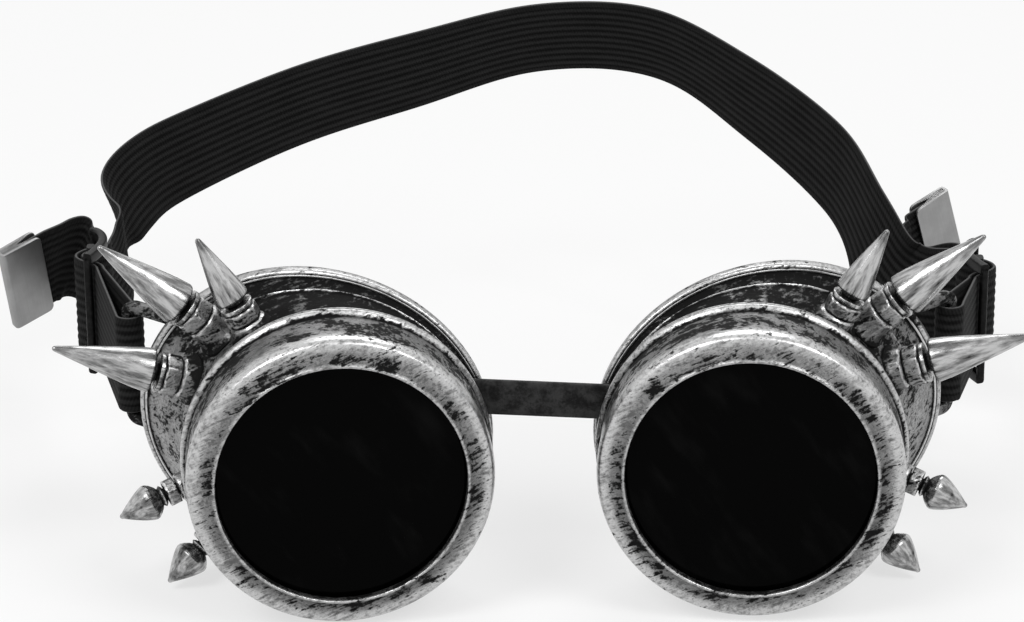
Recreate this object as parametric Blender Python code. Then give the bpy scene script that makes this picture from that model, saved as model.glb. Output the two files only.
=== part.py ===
# Spiked cup goggles: two moulded cups with screw-on bezels, round dark lenses, a bridge strip,
# five studs on each cup, and an elastic head strap with a slider and an end clamp on each side.
# The lenses face -Y, +X is the right hand of the view, +Z is up, and the cups stand on Z = 0. The
# pieces are placed from the point between the two lenses, and then the whole is moved so that the
# middle of its footprint is the origin.
# Each cup has its own frame: its origin is the centre of the bezel's front plane, u runs outward
# to the temple, v runs up, and w runs back along the lens axis.
import math

import bmesh
import bpy
import numpy as np
from mathutils import Matrix, Vector

MM = 0.001
FIT_GAP = 0.3 * MM
TRIM_GAP = 0.1 * MM

# Middle of the footprint, measured from the point between the two lenses
FOOTPRINT_MIDDLE_X = -8.03 * MM
FOOTPRINT_MIDDLE_Y = 78.75 * MM

# Lens, and the bezel that holds it, as radii and places along the lens axis
LENS_RADIUS = 25.0 * MM
LENS_THICKNESS = 2.2 * MM
LENS_DISH = 0.5 * MM
LENS_SIDE_GAP = 0.9 * MM
BEZEL_DEPTH = 16.4 * MM
BEZEL_LIP_COVER = 1.5 * MM
BEZEL_LIP_THICKNESS = 1.8 * MM
BEZEL_WALL = 3.0 * MM
BEZEL_RIDGE_INSET = 1.1 * MM
BEZEL_BEAD_PROUD = 0.8 * MM
BEZEL_BEAD_WIDTH = 2.0 * MM
BEZEL_FRONT_SLOPE = 1.2 * MM
BEZEL_CORNER = 2.6 * MM
BEZEL_EDGE = 0.5 * MM
GASKET_WIDTH = 1.9 * MM
GASKET_THICKNESS = 1.0 * MM
THREAD_GAP = 0.5 * MM
BORE_RADIUS = LENS_RADIUS + LENS_SIDE_GAP
BEZEL_LIP_RADIUS = LENS_RADIUS - BEZEL_LIP_COVER
BEZEL_WALL_RADIUS = BORE_RADIUS + BEZEL_WALL
BEZEL_RIDGE_RADIUS = BEZEL_WALL_RADIUS - BEZEL_RIDGE_INSET
BEZEL_BEAD_RADIUS = BEZEL_WALL_RADIUS + BEZEL_BEAD_PROUD
GASKET_INNER_RADIUS = LENS_RADIUS - GASKET_WIDTH

# Cup shell, from its threaded collar back to the oval rim
COLLAR_WALL = 2.6 * MM
SHOULDER_SEAT = 1.7 * MM
SHOULDER_WIDTH = 0.6 * MM
SHOULDER_STEP = 1.0 * MM
CUP_WALL = 2.4 * MM
CUP_DEPTH = 19.4 * MM
RIM_FLARE_SIDE = 7.0 * MM
RIM_FLARE_TOP = 4.1 * MM
RIM_SHIFT = 3.1 * MM
RIM_SLOPE = math.tan(math.radians(17.5))
RIM_THICKNESS = 3.0 * MM
RIM_LEDGE = 2.9 * MM
RIM_EDGE = 0.7 * MM
RIM_FOOT_CUT = 0.7 * MM
BODY_WAIST = 0.5 * MM
BODY_FLARE_POWER = 1.8
COLLAR_RADIUS = BORE_RADIUS - THREAD_GAP
COLLAR_INNER_RADIUS = COLLAR_RADIUS - COLLAR_WALL
SHOULDER_RADIUS = BORE_RADIUS + SHOULDER_SEAT
NECK_RADIUS = SHOULDER_RADIUS - SHOULDER_STEP
RIM_HALF_WIDTH = NECK_RADIUS + RIM_FLARE_SIDE
RIM_HALF_HEIGHT = NECK_RADIUS + RIM_FLARE_TOP
RIM_DEPTH = BEZEL_DEPTH + CUP_DEPTH
# Places of the shell's rings from the neck to the rim, outside and inside
BODY_RING_SHARES = (0.0, 0.35, 0.7, 0.97)
INNER_RING_SHARES = (0.97, 0.5, 0.0)

# Stance of the two cups: the rims' nose gap sets them apart, and each rim is cut flat to stand on
NOSE_GAP = 15.0 * MM
TOE_IN = math.radians(5.0)
LENS_SPACING = 2 * (RIM_HALF_WIDTH - RIM_SHIFT) + NOSE_GAP
LENS_HEIGHT = RIM_HALF_HEIGHT - RIM_FOOT_CUT

# Strap lug on the temple side of each cup
LUG_BAR = 2.4 * MM
LUG_ROOT_BITE = 4.2 * MM
LUG_ROOT_BEHIND = 4.4 * MM
LUG_REACH_OUT = 10.1 * MM
LUG_REACH_BACK = 8.4 * MM
LUG_RISE = 6.0 * MM
LUG_ROOT_OUT = LENS_SPACING / 2 + RIM_SHIFT + RIM_HALF_WIDTH - LUG_ROOT_BITE
LUG_ROOT_BACK = RIM_DEPTH + LUG_ROOT_BEHIND
LUG_BAR_OUT = LUG_ROOT_OUT + LUG_REACH_OUT
LUG_BAR_BACK = LUG_ROOT_BACK + LUG_REACH_BACK
LUG_CENTRE_HEIGHT = LENS_HEIGHT + LUG_RISE

# Bridge strip between the cups
BRIDGE_HEIGHT = 7.0 * MM
BRIDGE_THICKNESS = 1.2 * MM
BRIDGE_RISE = 7.4 * MM
BRIDGE_BEHIND = 5.9 * MM
BRIDGE_GRIP = 11.1 * MM
BRIDGE_HEAD_LENGTH = 2.2 * MM
BRIDGE_HEAD_HEIGHT = 9.6 * MM
BRIDGE_HEAD_THICKNESS = 2.6 * MM
BRIDGE_SLOT_GAP = 0.4 * MM
BRIDGE_LEVEL = LENS_HEIGHT + BRIDGE_RISE
BRIDGE_BACK = BEZEL_DEPTH + BRIDGE_BEHIND
BRIDGE_REACH = NOSE_GAP / 2 + BRIDGE_GRIP

# Studs. Each row: name, kind, then in degrees the foot's place round the lens axis from outward,
# the way the stud points round the same axis, and its tilt to the front
STUD_ROWS = (
    ("top", "medium", 57.0, 63.0, 0.0),
    ("upper", "long", 42.5, 41.0, 4.0),
    ("side", "long", 20.5, 18.5, 5.0),
    ("lower", "short", -19.0, -20.5, 14.0),
    ("bottom", "short", -40.5, -41.0, 18.0),
)
# The foot's place behind the bezel, and its height over the cup's neck
STUD_BEHIND = {"top": 9.2 * MM, "upper": 13.8 * MM, "side": 13.6 * MM,
               "lower": 8.7 * MM, "bottom": 8.1 * MM}
STUD_RISE = {"top": 7.2 * MM, "upper": 12.0 * MM, "side": 10.0 * MM,
             "lower": 9.2 * MM, "bottom": 8.6 * MM}
SPIKE_LENGTH = {"medium": 14.0 * MM, "long": 19.6 * MM, "short": 8.4 * MM}
SPIKE_RADIUS = {"medium": 3.3 * MM, "long": 4.3 * MM, "short": 3.6 * MM}
SPIKE_TIP_RADIUS = 0.45 * MM
SPIKE_NECK_RADIUS = 2.0 * MM
SPIKE_NECK_LENGTH = {"medium": 0.8 * MM, "long": 0.8 * MM, "short": 1.2 * MM}
SPIKE_SHOULDER = 1.7 * MM
STUD_SHANK_RADIUS = 1.3 * MM
STUD_HOLE_GAP = 0.4 * MM
STUD_HOLE_RADIUS = STUD_SHANK_RADIUS + STUD_HOLE_GAP
WASHER_RADIUS = {"medium": 3.3 * MM, "long": 3.9 * MM}
WASHER_THICKNESS = 0.9 * MM
NUT_FLATS = {"medium": 6.4 * MM, "long": 7.2 * MM, "short": 5.2 * MM}
NUT_HEIGHT = {"medium": 2.6 * MM, "long": 3.0 * MM, "short": 2.2 * MM}
NUT_CHAMFER = 0.3 * MM
BOSS_RADIUS = {"medium": 3.2 * MM, "long": 3.7 * MM, "short": 2.7 * MM}
BOSS_ROOT_DEPTH = 1.0 * MM
SHANK_BITE = 1.4 * MM

# Strap, sliders and end clamps
STRAP_WIDTH = 20.0 * MM
STRAP_THICKNESS = 1.0 * MM
SLIDER_LENGTH = 17.0 * MM
SLIDER_BEHIND_LUG = 21.4 * MM
SLIDER_BESIDE_LUG = 9.9 * MM
SLIDER_FRONT = LUG_BAR_BACK + SLIDER_BEHIND_LUG
SLIDER_OUT = LUG_BAR_OUT + SLIDER_BESIDE_LUG
SLIDER_THICKNESS = 1.6 * MM
SLIDER_END_BAR = 2.4 * MM
SLIDER_SIDE_BAR = 2.2 * MM
SLIDER_CENTRE_BAR = 2.6 * MM
SLIDER_EDGE = 0.5 * MM
SLIDER_BOW = 2.6 * MM
SLIDER_BOW_RUN = 4.0 * MM
LEFT_SLIDER_RISE = 1.3 * MM
RIGHT_SLIDER_DROP = 3.4 * MM
SLIDER_LEVEL = {-1: LUG_CENTRE_HEIGHT + LEFT_SLIDER_RISE, 1: LUG_CENTRE_HEIGHT - RIGHT_SLIDER_DROP}
WEAVE_GAP = 0.5 * MM
CLAMP_LENGTH = 9.2 * MM
CLAMP_GRIP = 11.0 * MM
GRIP_ROW_SHARES = (0.1, 0.55, 1.0)
CLAMP_SHEET = 0.5 * MM
CLAMP_OVERHANG = 0.4 * MM
CLAMP_WIDTH = STRAP_WIDTH + 2 * CLAMP_OVERHANG

# Route of the band round the head, left slider to right slider. Shares of the half width, of the
# depth behind the sliders and of the rise at the back, then the lean of the band in degrees.
BAND_INSET = 0.5 * MM
BAND_HALF_WIDTH = SLIDER_OUT - BAND_INSET
BAND_DEPTH = 68.0 * MM
BAND_RISE = 30.0 * MM
BAND_LEVEL = SLIDER_LEVEL[-1]
BAND_SETTLE = 16.0 * MM
BAND_ROUTE_SHARES = (
    (-0.956, 0.060, 0.03, -1.0),
    (-0.942, 0.100, 0.09, -4.0),
    (-0.950, 0.155, 0.21, -9.0),
    (-0.966, 0.225, 0.34, -14.0),
    (-0.920, 0.350, 0.46, -8.0),
    (-0.830, 0.480, 0.55, 3.0),
    (-0.555, 0.725, 0.74, 11.0),
    (-0.275, 0.885, 0.88, 16.0),
    (0.025, 0.992, 1.04, 25.0),
    (0.310, 0.960, 1.01, 23.0),
    (0.530, 0.745, 0.74, 8.0),
    (0.715, 0.460, 0.42, -3.0),
    (0.785, 0.220, 0.13, -10.0),
    (0.825, 0.130, -0.11, -10.0),
    (0.890, 0.080, -0.20, -5.0),
    (0.950, 0.055, -0.19, -1.0),
)

# Tails beyond the sliders, per side: shares of the tail's reach outward, back and up from where it
# leaves the slider, then the lean in degrees.
TAIL_REACH = 20.0 * MM
TAIL_ROUTE_SHARES = {
    -1: ((0.02, 0.10, 0.00, 0.0), (0.11, 0.24, 0.03, -2.0), (0.20, 0.36, 0.08, -6.0),
         (0.33, 0.42, 0.14, -12.0), (0.45, 0.32, 0.17, -15.0), (0.54, 0.20, 0.17, -17.0),
         (0.87, -0.03, 0.05, -17.0)),
    1: ((0.00, 0.10, 0.00, 0.0), (-0.04, 0.23, -0.02, 0.0), (-0.21, 0.42, -0.12, -3.0),
        (-0.39, 0.64, -0.12, -9.0), (-0.46, 0.88, 0.00, -10.0), (-0.41, 1.05, 0.07, 3.0),
        (-0.15, 1.20, 0.18, 5.0)),
}

# Counts of facets and of rows
RING_POINTS = 40
TURN_STEPS = 48
SPIKE_STEPS = 14
WASHER_STEPS = 20
HEX_SIDES = 6
WEAVE_ROWS = 25
LOOP_STEPS = 8
BAND_ROWS_PER_SPAN = 5
TAIL_ROWS_PER_SPAN = 4
SIDE_NAME = {-1: "left", 1: "right"}


def clear_scene():
    for item in list(bpy.data.objects):
        bpy.data.objects.remove(item, do_unlink=True)


def make_material(name, colour, roughness, metallic):
    material = bpy.data.materials.new(name)
    material.use_nodes = True
    shader = material.node_tree.nodes["Principled BSDF"]
    shader.inputs["Base Color"].default_value = (*colour, 1.0)
    shader.inputs["Roughness"].default_value = roughness
    shader.inputs["Metallic"].default_value = metallic
    return material


def finish_object(name, mesh_data, material, smooth_angle=40.0):
    mesh = bpy.data.meshes.new(name)
    bmesh.ops.recalc_face_normals(mesh_data, faces=mesh_data.faces)
    mesh_data.to_mesh(mesh)
    mesh_data.free()
    item = bpy.data.objects.new(name, mesh)
    bpy.context.scene.collection.objects.link(item)
    item.data.materials.append(material)
    mesh.shade_smooth()
    mesh.set_sharp_from_angle(angle=math.radians(smooth_angle))
    return item


def cup_matrix(side):
    # Columns are the outward, backward and upward directions of one cup, which toes in
    turn = Matrix.Rotation(-side * TOE_IN, 4, "Z")
    return Matrix.Translation((side * LENS_SPACING / 2, 0.0, LENS_HEIGHT)) @ turn


def skinned_rings(rings, closed):
    # Rings of points joined one to the next; a closed set joins its last ring to its first
    mesh_data = bmesh.new()
    loops = [[mesh_data.verts.new(point) for point in ring] for ring in rings]
    followers = loops[1:] + loops[:1] if closed else loops[1:]
    for loop, following in zip(loops, followers):
        pairs = list(zip(loop, following))
        for (a, b), (c, d) in zip(pairs, pairs[1:] + pairs[:1]):
            mesh_data.faces.new((a, c, d, b))
    if not closed:
        mesh_data.faces.new(loops[0])
        mesh_data.faces.new(loops[-1])
    return mesh_data


def turned(name, profile, material, steps=TURN_STEPS):
    # A closed outline of (radius, place) pairs carried once round the local Y axis
    rings = []
    for radius, place in profile:
        turns = [2 * math.pi * step / steps for step in range(steps)]
        rings.append([(radius * math.cos(t), place, radius * math.sin(t)) for t in turns])
    return finish_object(name, skinned_rings(rings, closed=True), material)


def box_data(low, high):
    mesh_data = bmesh.new()
    bmesh.ops.create_cube(mesh_data, size=1.0)
    middle = (Vector(low) + Vector(high)) / 2
    size = Vector(high) - Vector(low)
    bmesh.ops.transform(mesh_data, verts=mesh_data.verts,
                        matrix=Matrix.Translation(middle) @ Matrix.Diagonal((*size, 1.0)))
    return mesh_data


def boolean(target, tool, operation):
    cut = target.modifiers.new(operation.title(), "BOOLEAN")
    cut.operation = operation
    cut.solver = "EXACT"
    cut.object = tool
    tool.hide_render = True
    tool.display_type = "WIRE"


# Cup shell

def rim_depth(u):
    return RIM_DEPTH + (u - RIM_SHIFT) * RIM_SLOPE


def body_ring(share, offset):
    # Ellipses that swell from the neck (share 0) to the underside of the rim (share 1)
    swell = share ** BODY_FLARE_POWER
    half_width = NECK_RADIUS + (RIM_HALF_WIDTH - RIM_LEDGE / 2 - NECK_RADIUS) * swell
    half_height = NECK_RADIUS + (RIM_HALF_HEIGHT - RIM_LEDGE / 2 - NECK_RADIUS) * swell
    waist = BODY_WAIST * math.sin(math.pi * share)
    centre = RIM_SHIFT * swell
    start = BEZEL_DEPTH + FIT_GAP + SHOULDER_WIDTH
    points = []
    for step in range(RING_POINTS):
        turn = 2 * math.pi * step / RING_POINTS
        u = centre + (half_width - waist - offset) * math.cos(turn)
        v = (half_height - waist - offset) * math.sin(turn)
        w = start + share * (rim_depth(u) - RIM_THICKNESS - start)
        points.append((u, v, w))
    return points


def rim_ring(inset, forward):
    points = []
    for step in range(RING_POINTS):
        turn = 2 * math.pi * step / RING_POINTS
        u = RIM_SHIFT + (RIM_HALF_WIDTH - inset) * math.cos(turn)
        v = (RIM_HALF_HEIGHT - inset) * math.sin(turn)
        points.append((u, max(v, -LENS_HEIGHT), rim_depth(u) - forward))
    return points


def round_ring(radius, place):
    turns = [2 * math.pi * step / RING_POINTS for step in range(RING_POINTS)]
    return [(radius * math.cos(t), radius * math.sin(t), place) for t in turns]


def cup_shell(side, material):
    collar_front = BEZEL_LIP_THICKNESS + LENS_THICKNESS + GASKET_THICKNESS + 3 * FIT_GAP
    shoulder = BEZEL_DEPTH + FIT_GAP
    rings = [
        round_ring(COLLAR_INNER_RADIUS, collar_front),
        round_ring(COLLAR_RADIUS - BEZEL_EDGE, collar_front),
        round_ring(COLLAR_RADIUS, collar_front + BEZEL_EDGE),
        round_ring(COLLAR_RADIUS, shoulder),
        round_ring(SHOULDER_RADIUS, shoulder),
        round_ring(SHOULDER_RADIUS, shoulder + SHOULDER_WIDTH),
        *[body_ring(share, 0.0) for share in BODY_RING_SHARES],
        rim_ring(RIM_EDGE, RIM_THICKNESS),
        rim_ring(0.0, RIM_THICKNESS - RIM_EDGE),
        rim_ring(0.0, RIM_EDGE),
        rim_ring(RIM_EDGE, 0.0),
        rim_ring(RIM_LEDGE - RIM_EDGE, 0.0),
        rim_ring(RIM_LEDGE, RIM_EDGE),
        *[body_ring(share, CUP_WALL) for share in INNER_RING_SHARES],
        round_ring(COLLAR_INNER_RADIUS, shoulder),
    ]
    placed = [[(side * u, w, v) for u, v, w in ring] for ring in rings]
    item = finish_object(SIDE_NAME[side] + "_cup", skinned_rings(placed, closed=True), material)
    item.matrix_world = cup_matrix(side)
    return item


def beam(start, end, width, height):
    # A straight square bar between two points that lie at the same height
    along = (Vector(end) - Vector(start)).normalized()
    across = along.cross(Vector((0.0, 0.0, 1.0))).normalized() * width / 2
    rise = Vector((0.0, 0.0, height / 2))
    rings = []
    for place in (Vector(start), Vector(end)):
        rings.append([place + across + rise, place - across + rise,
                      place - across - rise, place + across - rise])
    return skinned_rings(rings, closed=False)


def add_lug(cup, side, material):
    # Two arms run back from the rim to an upright bar that the strap goes round
    half = STRAP_WIDTH / 2 + 2 * FIT_GAP
    bar_place = (side * LUG_BAR_OUT, LUG_BAR_BACK)
    pieces = []
    for rise in (-1, 1):
        level = LUG_CENTRE_HEIGHT + rise * (half + LUG_BAR / 2)
        root = (side * LUG_ROOT_OUT, LUG_ROOT_BACK, level)
        end = (bar_place[0] + side * LUG_BAR / 2, bar_place[1] + LUG_BAR / 2, level)
        pieces.append(beam(root, end, LUG_BAR, LUG_BAR))
    low = (bar_place[0] - LUG_BAR / 2, bar_place[1] - LUG_BAR / 2, LUG_CENTRE_HEIGHT - half - LUG_BAR / 2)
    high = (bar_place[0] + LUG_BAR / 2, bar_place[1] + LUG_BAR / 2, LUG_CENTRE_HEIGHT + half + LUG_BAR / 2)
    pieces.append(box_data(low, high))
    for count, mesh_data in enumerate(pieces):
        tool = finish_object(f"{SIDE_NAME[side]}_lug_tool_{count}", mesh_data, material)
        boolean(cup, tool, "UNION")


# Studs

def stud_axis(side, row):
    # Foot of the spike and the outward direction of its axis, in world space
    name = row[0]
    place, point, tilt = (math.radians(angle) for angle in row[2:])
    reach = NECK_RADIUS + STUD_RISE[name]
    foot = Vector((side * reach * math.cos(place), BEZEL_DEPTH + STUD_BEHIND[name],
                   reach * math.sin(place)))
    direction = Vector((side * math.cos(point) * math.cos(tilt), -math.sin(tilt),
                        math.sin(point) * math.cos(tilt)))
    frame = cup_matrix(side)
    return frame @ foot, (frame.to_3x3() @ direction).normalized()


def stud_matrix(foot, direction):
    # The piece's local Y axis points out along the stud
    turn = Vector((0.0, 1.0, 0.0)).rotation_difference(direction)
    return Matrix.Translation(foot) @ turn.to_matrix().to_4x4()


def stud_heights(kind):
    # Places along the stud below the foot: neck, collar, nut and boss, each under the one before
    washer_step = WASHER_THICKNESS + FIT_GAP if kind in WASHER_RADIUS else 0.0
    neck_low = -SPIKE_NECK_LENGTH[kind]
    washer_low = neck_low - washer_step
    nut_high = washer_low - FIT_GAP
    nut_low = nut_high - NUT_HEIGHT[kind]
    return neck_low, washer_low, nut_high, nut_low, nut_low - FIT_GAP


def spike(name, kind, shank_length, material):
    radius, length = SPIKE_RADIUS[kind], SPIKE_LENGTH[kind]
    neck_low = stud_heights(kind)[0]
    if kind == "short":
        outline = [(SPIKE_NECK_RADIUS, 0.0), (radius, SPIKE_SHOULDER)]
    else:
        outline = [(radius - SPIKE_TIP_RADIUS, 0.0), (radius, SPIKE_TIP_RADIUS)]
    outline += [(SPIKE_TIP_RADIUS, length - SPIKE_TIP_RADIUS),
                (SPIKE_TIP_RADIUS / 2, length - SPIKE_TIP_RADIUS / 4), (0.0, length)]
    stem = [(0.0, -shank_length), (STUD_SHANK_RADIUS, -shank_length), (STUD_SHANK_RADIUS, neck_low),
            (SPIKE_NECK_RADIUS, neck_low), (SPIKE_NECK_RADIUS, 0.0)]
    if kind == "short":
        stem.pop()
    profile = stem + outline
    rings = []
    for ring_radius, place in profile[1:-1]:
        turns = [2 * math.pi * step / SPIKE_STEPS for step in range(SPIKE_STEPS)]
        rings.append([(ring_radius * math.cos(t), place, ring_radius * math.sin(t)) for t in turns])
    return finish_object(name, skinned_rings(rings, closed=False), material)


def hex_nut(name, flats, high, low, material):
    # A six-sided ring with a broken upper edge, open on the stud's axis
    corner = flats / math.sqrt(3.0)
    steps = 2 * HEX_SIDES
    rings = []
    for outer, place in ((corner, low), (corner, high - NUT_CHAMFER), (corner - NUT_CHAMFER, high)):
        ring = []
        for step in range(steps):
            turn = 2 * math.pi * step / steps
            reach = outer if step % 2 == 0 else outer * math.cos(math.pi / HEX_SIDES)
            ring.append((reach * math.cos(turn), place, reach * math.sin(turn)))
        rings.append(ring)
    for place in (high, low):
        turns = [2 * math.pi * step / steps for step in range(steps)]
        rings.append([(STUD_HOLE_RADIUS * math.cos(t), place, STUD_HOLE_RADIUS * math.sin(t))
                      for t in turns])
    return finish_object(name, skinned_rings(rings, closed=True), material, smooth_angle=20.0)


def washer(name, radius, high, low, material):
    edge = WASHER_THICKNESS / 4
    profile = [(STUD_HOLE_RADIUS, low), (radius - edge, low), (radius, low + edge),
               (radius, high - edge), (radius - edge, high), (STUD_HOLE_RADIUS, high)]
    return turned(name, profile, material, steps=WASHER_STEPS)


def rod(name, radius, low, high, material):
    rings = []
    for place in (low, high):
        turns = [2 * math.pi * step / SPIKE_STEPS for step in range(SPIKE_STEPS)]
        rings.append([(radius * math.cos(t), place, radius * math.sin(t)) for t in turns])
    return finish_object(name, skinned_rings(rings, closed=False), material)


def add_stud(side, row, materials):
    name, kind = row[0], row[1]
    label = f"{SIDE_NAME[side]}_{name}"
    foot, direction = stud_axis(side, row)
    placed = stud_matrix(foot, direction)
    neck_low, washer_low, nut_high, nut_low, boss_high = stud_heights(kind)
    shank_length = SHANK_BITE - nut_low
    pieces = [spike(label + "_spike", kind, shank_length, materials["polished silver"]),
              hex_nut(label + "_nut", NUT_FLATS[kind], nut_high, nut_low, materials["aged silver"])]
    if kind in WASHER_RADIUS:
        pieces.append(washer(label + "_collar", WASHER_RADIUS[kind], neck_low - FIT_GAP, washer_low,
                             materials["polished silver"]))
    root = -(STUD_RISE[name] + BOSS_ROOT_DEPTH)
    boss = rod(label + "_boss_tool", BOSS_RADIUS[kind], root, boss_high,
               materials["aged silver"])
    hole = rod(label + "_hole_tool", STUD_HOLE_RADIUS, -shank_length - FIT_GAP, NUT_HEIGHT[kind],
               materials["aged silver"])
    for item in pieces + [boss, hole]:
        item.matrix_world = placed
    return boss, hole


def make_cup(side, materials):
    cup = cup_shell(side, materials["aged silver"])
    add_lug(cup, side, materials["aged silver"])
    tools = [add_stud(side, row, materials) for row in STUD_ROWS]
    for boss, hole in tools:
        boolean(cup, boss, "UNION")
    trim_inside(cup, side, materials["aged silver"])
    for boss, hole in tools:
        boolean(cup, hole, "DIFFERENCE")
    cut_bridge_slot(cup, side, materials["aged silver"])


def trim_inside(cup, side, material):
    # The eye space is cleared of the roots of the bosses and of the lug's arms
    skin = CUP_WALL + TRIM_GAP
    rings = [body_ring(share, skin) for share in reversed(INNER_RING_SHARES)]
    rings += [rim_ring(RIM_LEDGE + TRIM_GAP, RIM_EDGE), rim_ring(RIM_LEDGE + TRIM_GAP, -RIM_THICKNESS)]
    placed = [[(side * u, w, v) for u, v, w in ring] for ring in rings]
    tool = finish_object(SIDE_NAME[side] + "_eye_space_tool", skinned_rings(placed, closed=False), material)
    tool.matrix_world = cup_matrix(side)
    boolean(cup, tool, "DIFFERENCE")


def cut_bridge_slot(cup, side, material):
    near, far = LENS_SPACING / 2 - RIM_HALF_WIDTH, BRIDGE_REACH + BRIDGE_HEAD_LENGTH
    low = (min(side * near, side * far), BRIDGE_BACK - BRIDGE_THICKNESS / 2 - BRIDGE_SLOT_GAP,
           BRIDGE_LEVEL - BRIDGE_HEIGHT / 2 - BRIDGE_SLOT_GAP)
    high = (max(side * near, side * far), BRIDGE_BACK + BRIDGE_THICKNESS / 2 + BRIDGE_SLOT_GAP,
            BRIDGE_LEVEL + BRIDGE_HEIGHT / 2 + BRIDGE_SLOT_GAP)
    tool = finish_object(SIDE_NAME[side] + "_bridge_slot_tool", box_data(low, high), material)
    boolean(cup, tool, "DIFFERENCE")


# Bezel, lens and gasket

def make_bezel(side, materials):
    bead_front = BEZEL_DEPTH - BEZEL_BEAD_WIDTH
    profile = [
        (BEZEL_LIP_RADIUS, BEZEL_LIP_THICKNESS),
        (BEZEL_LIP_RADIUS, BEZEL_EDGE),
        (BEZEL_LIP_RADIUS + BEZEL_EDGE, 0.0),
        (BEZEL_LIP_RADIUS + 2 * BEZEL_EDGE, 0.0),
        ((BEZEL_LIP_RADIUS + BEZEL_RIDGE_RADIUS) / 2, BEZEL_FRONT_SLOPE / 3),
        (BEZEL_RIDGE_RADIUS, BEZEL_FRONT_SLOPE),
        ((BEZEL_RIDGE_RADIUS + BEZEL_WALL_RADIUS) / 2, BEZEL_FRONT_SLOPE + BEZEL_EDGE),
        (BEZEL_WALL_RADIUS, BEZEL_CORNER),
        (BEZEL_WALL_RADIUS, bead_front - BEZEL_EDGE),
        (BEZEL_BEAD_RADIUS, bead_front + BEZEL_EDGE / 2),
        (BEZEL_BEAD_RADIUS, BEZEL_DEPTH - BEZEL_EDGE),
        (BEZEL_BEAD_RADIUS - BEZEL_EDGE, BEZEL_DEPTH),
        (BORE_RADIUS + BEZEL_EDGE, BEZEL_DEPTH),
        (BORE_RADIUS, BEZEL_DEPTH - BEZEL_EDGE),
        (BORE_RADIUS, BEZEL_LIP_THICKNESS),
    ]
    bezel = turned(SIDE_NAME[side] + "_bezel", profile, materials["aged silver"])
    bezel.matrix_world = cup_matrix(side)


def make_lens(side, materials):
    front = BEZEL_LIP_THICKNESS + FIT_GAP
    back = front + LENS_THICKNESS
    rings = []
    edge = LENS_DISH / 2
    for radius, place in ((LENS_RADIUS / 2, front - LENS_DISH / 2), (LENS_RADIUS - edge, front),
                          (LENS_RADIUS, front + edge), (LENS_RADIUS, back - edge),
                          (LENS_RADIUS - edge, back), (LENS_RADIUS / 2, back - LENS_DISH / 2)):
        turns = [2 * math.pi * step / TURN_STEPS for step in range(TURN_STEPS)]
        rings.append([(radius * math.cos(t), place, radius * math.sin(t)) for t in turns])
    lens = finish_object(SIDE_NAME[side] + "_lens", skinned_rings(rings, closed=False),
                         materials["dark lens"])
    lens.matrix_world = cup_matrix(side)


def make_gasket(side, materials):
    front = BEZEL_LIP_THICKNESS + LENS_THICKNESS + 2 * FIT_GAP
    back = front + GASKET_THICKNESS
    profile = [(GASKET_INNER_RADIUS, front), (LENS_RADIUS, front), (LENS_RADIUS, back),
               (GASKET_INNER_RADIUS, back)]
    gasket = turned(SIDE_NAME[side] + "_lens_gasket", profile, materials["black rubber"])
    gasket.matrix_world = cup_matrix(side)


# Bridge strip, with a thick head inside each cup

def make_bridge(materials):
    sections = []
    head_start, head_end = BRIDGE_REACH, BRIDGE_REACH + BRIDGE_HEAD_LENGTH
    for x, height, thickness in ((head_start, BRIDGE_HEIGHT, BRIDGE_THICKNESS),
                                 (head_start + BRIDGE_THICKNESS / 2, BRIDGE_HEAD_HEIGHT, BRIDGE_HEAD_THICKNESS),
                                 (head_end, BRIDGE_HEAD_HEIGHT, BRIDGE_HEAD_THICKNESS)):
        sections.append((x, height / 2, thickness / 2))
    mirrored = [(-x, height, thickness) for x, height, thickness in reversed(sections)]
    rings = []
    for x, height, thickness in mirrored + sections:
        rings.append([(x, BRIDGE_BACK - thickness, BRIDGE_LEVEL - height),
                      (x, BRIDGE_BACK + thickness, BRIDGE_LEVEL - height),
                      (x, BRIDGE_BACK + thickness, BRIDGE_LEVEL + height),
                      (x, BRIDGE_BACK - thickness, BRIDGE_LEVEL + height)])
    finish_object("bridge_strip", skinned_rings(rings, closed=False), materials["black strip"])


# Strap

def smooth_route(points, per_span):
    # A Catmull-Rom curve through the rows, every column treated alike
    rows = np.array(points, dtype=float)
    padded = np.vstack([2 * rows[0] - rows[1], rows, 2 * rows[-1] - rows[-2]])
    steps = np.linspace(0.0, 1.0, per_span, endpoint=False)[:, None]
    spans = []
    for a, b, c, d in zip(padded, padded[1:], padded[2:], padded[3:]):
        spans.append(0.5 * (2 * b + (c - a) * steps + (2 * a - 5 * b + 4 * c - d) * steps ** 2
                            + (3 * b - a - 3 * c + d) * steps ** 3))
    return np.vstack(spans + [rows[-1:]])


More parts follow.
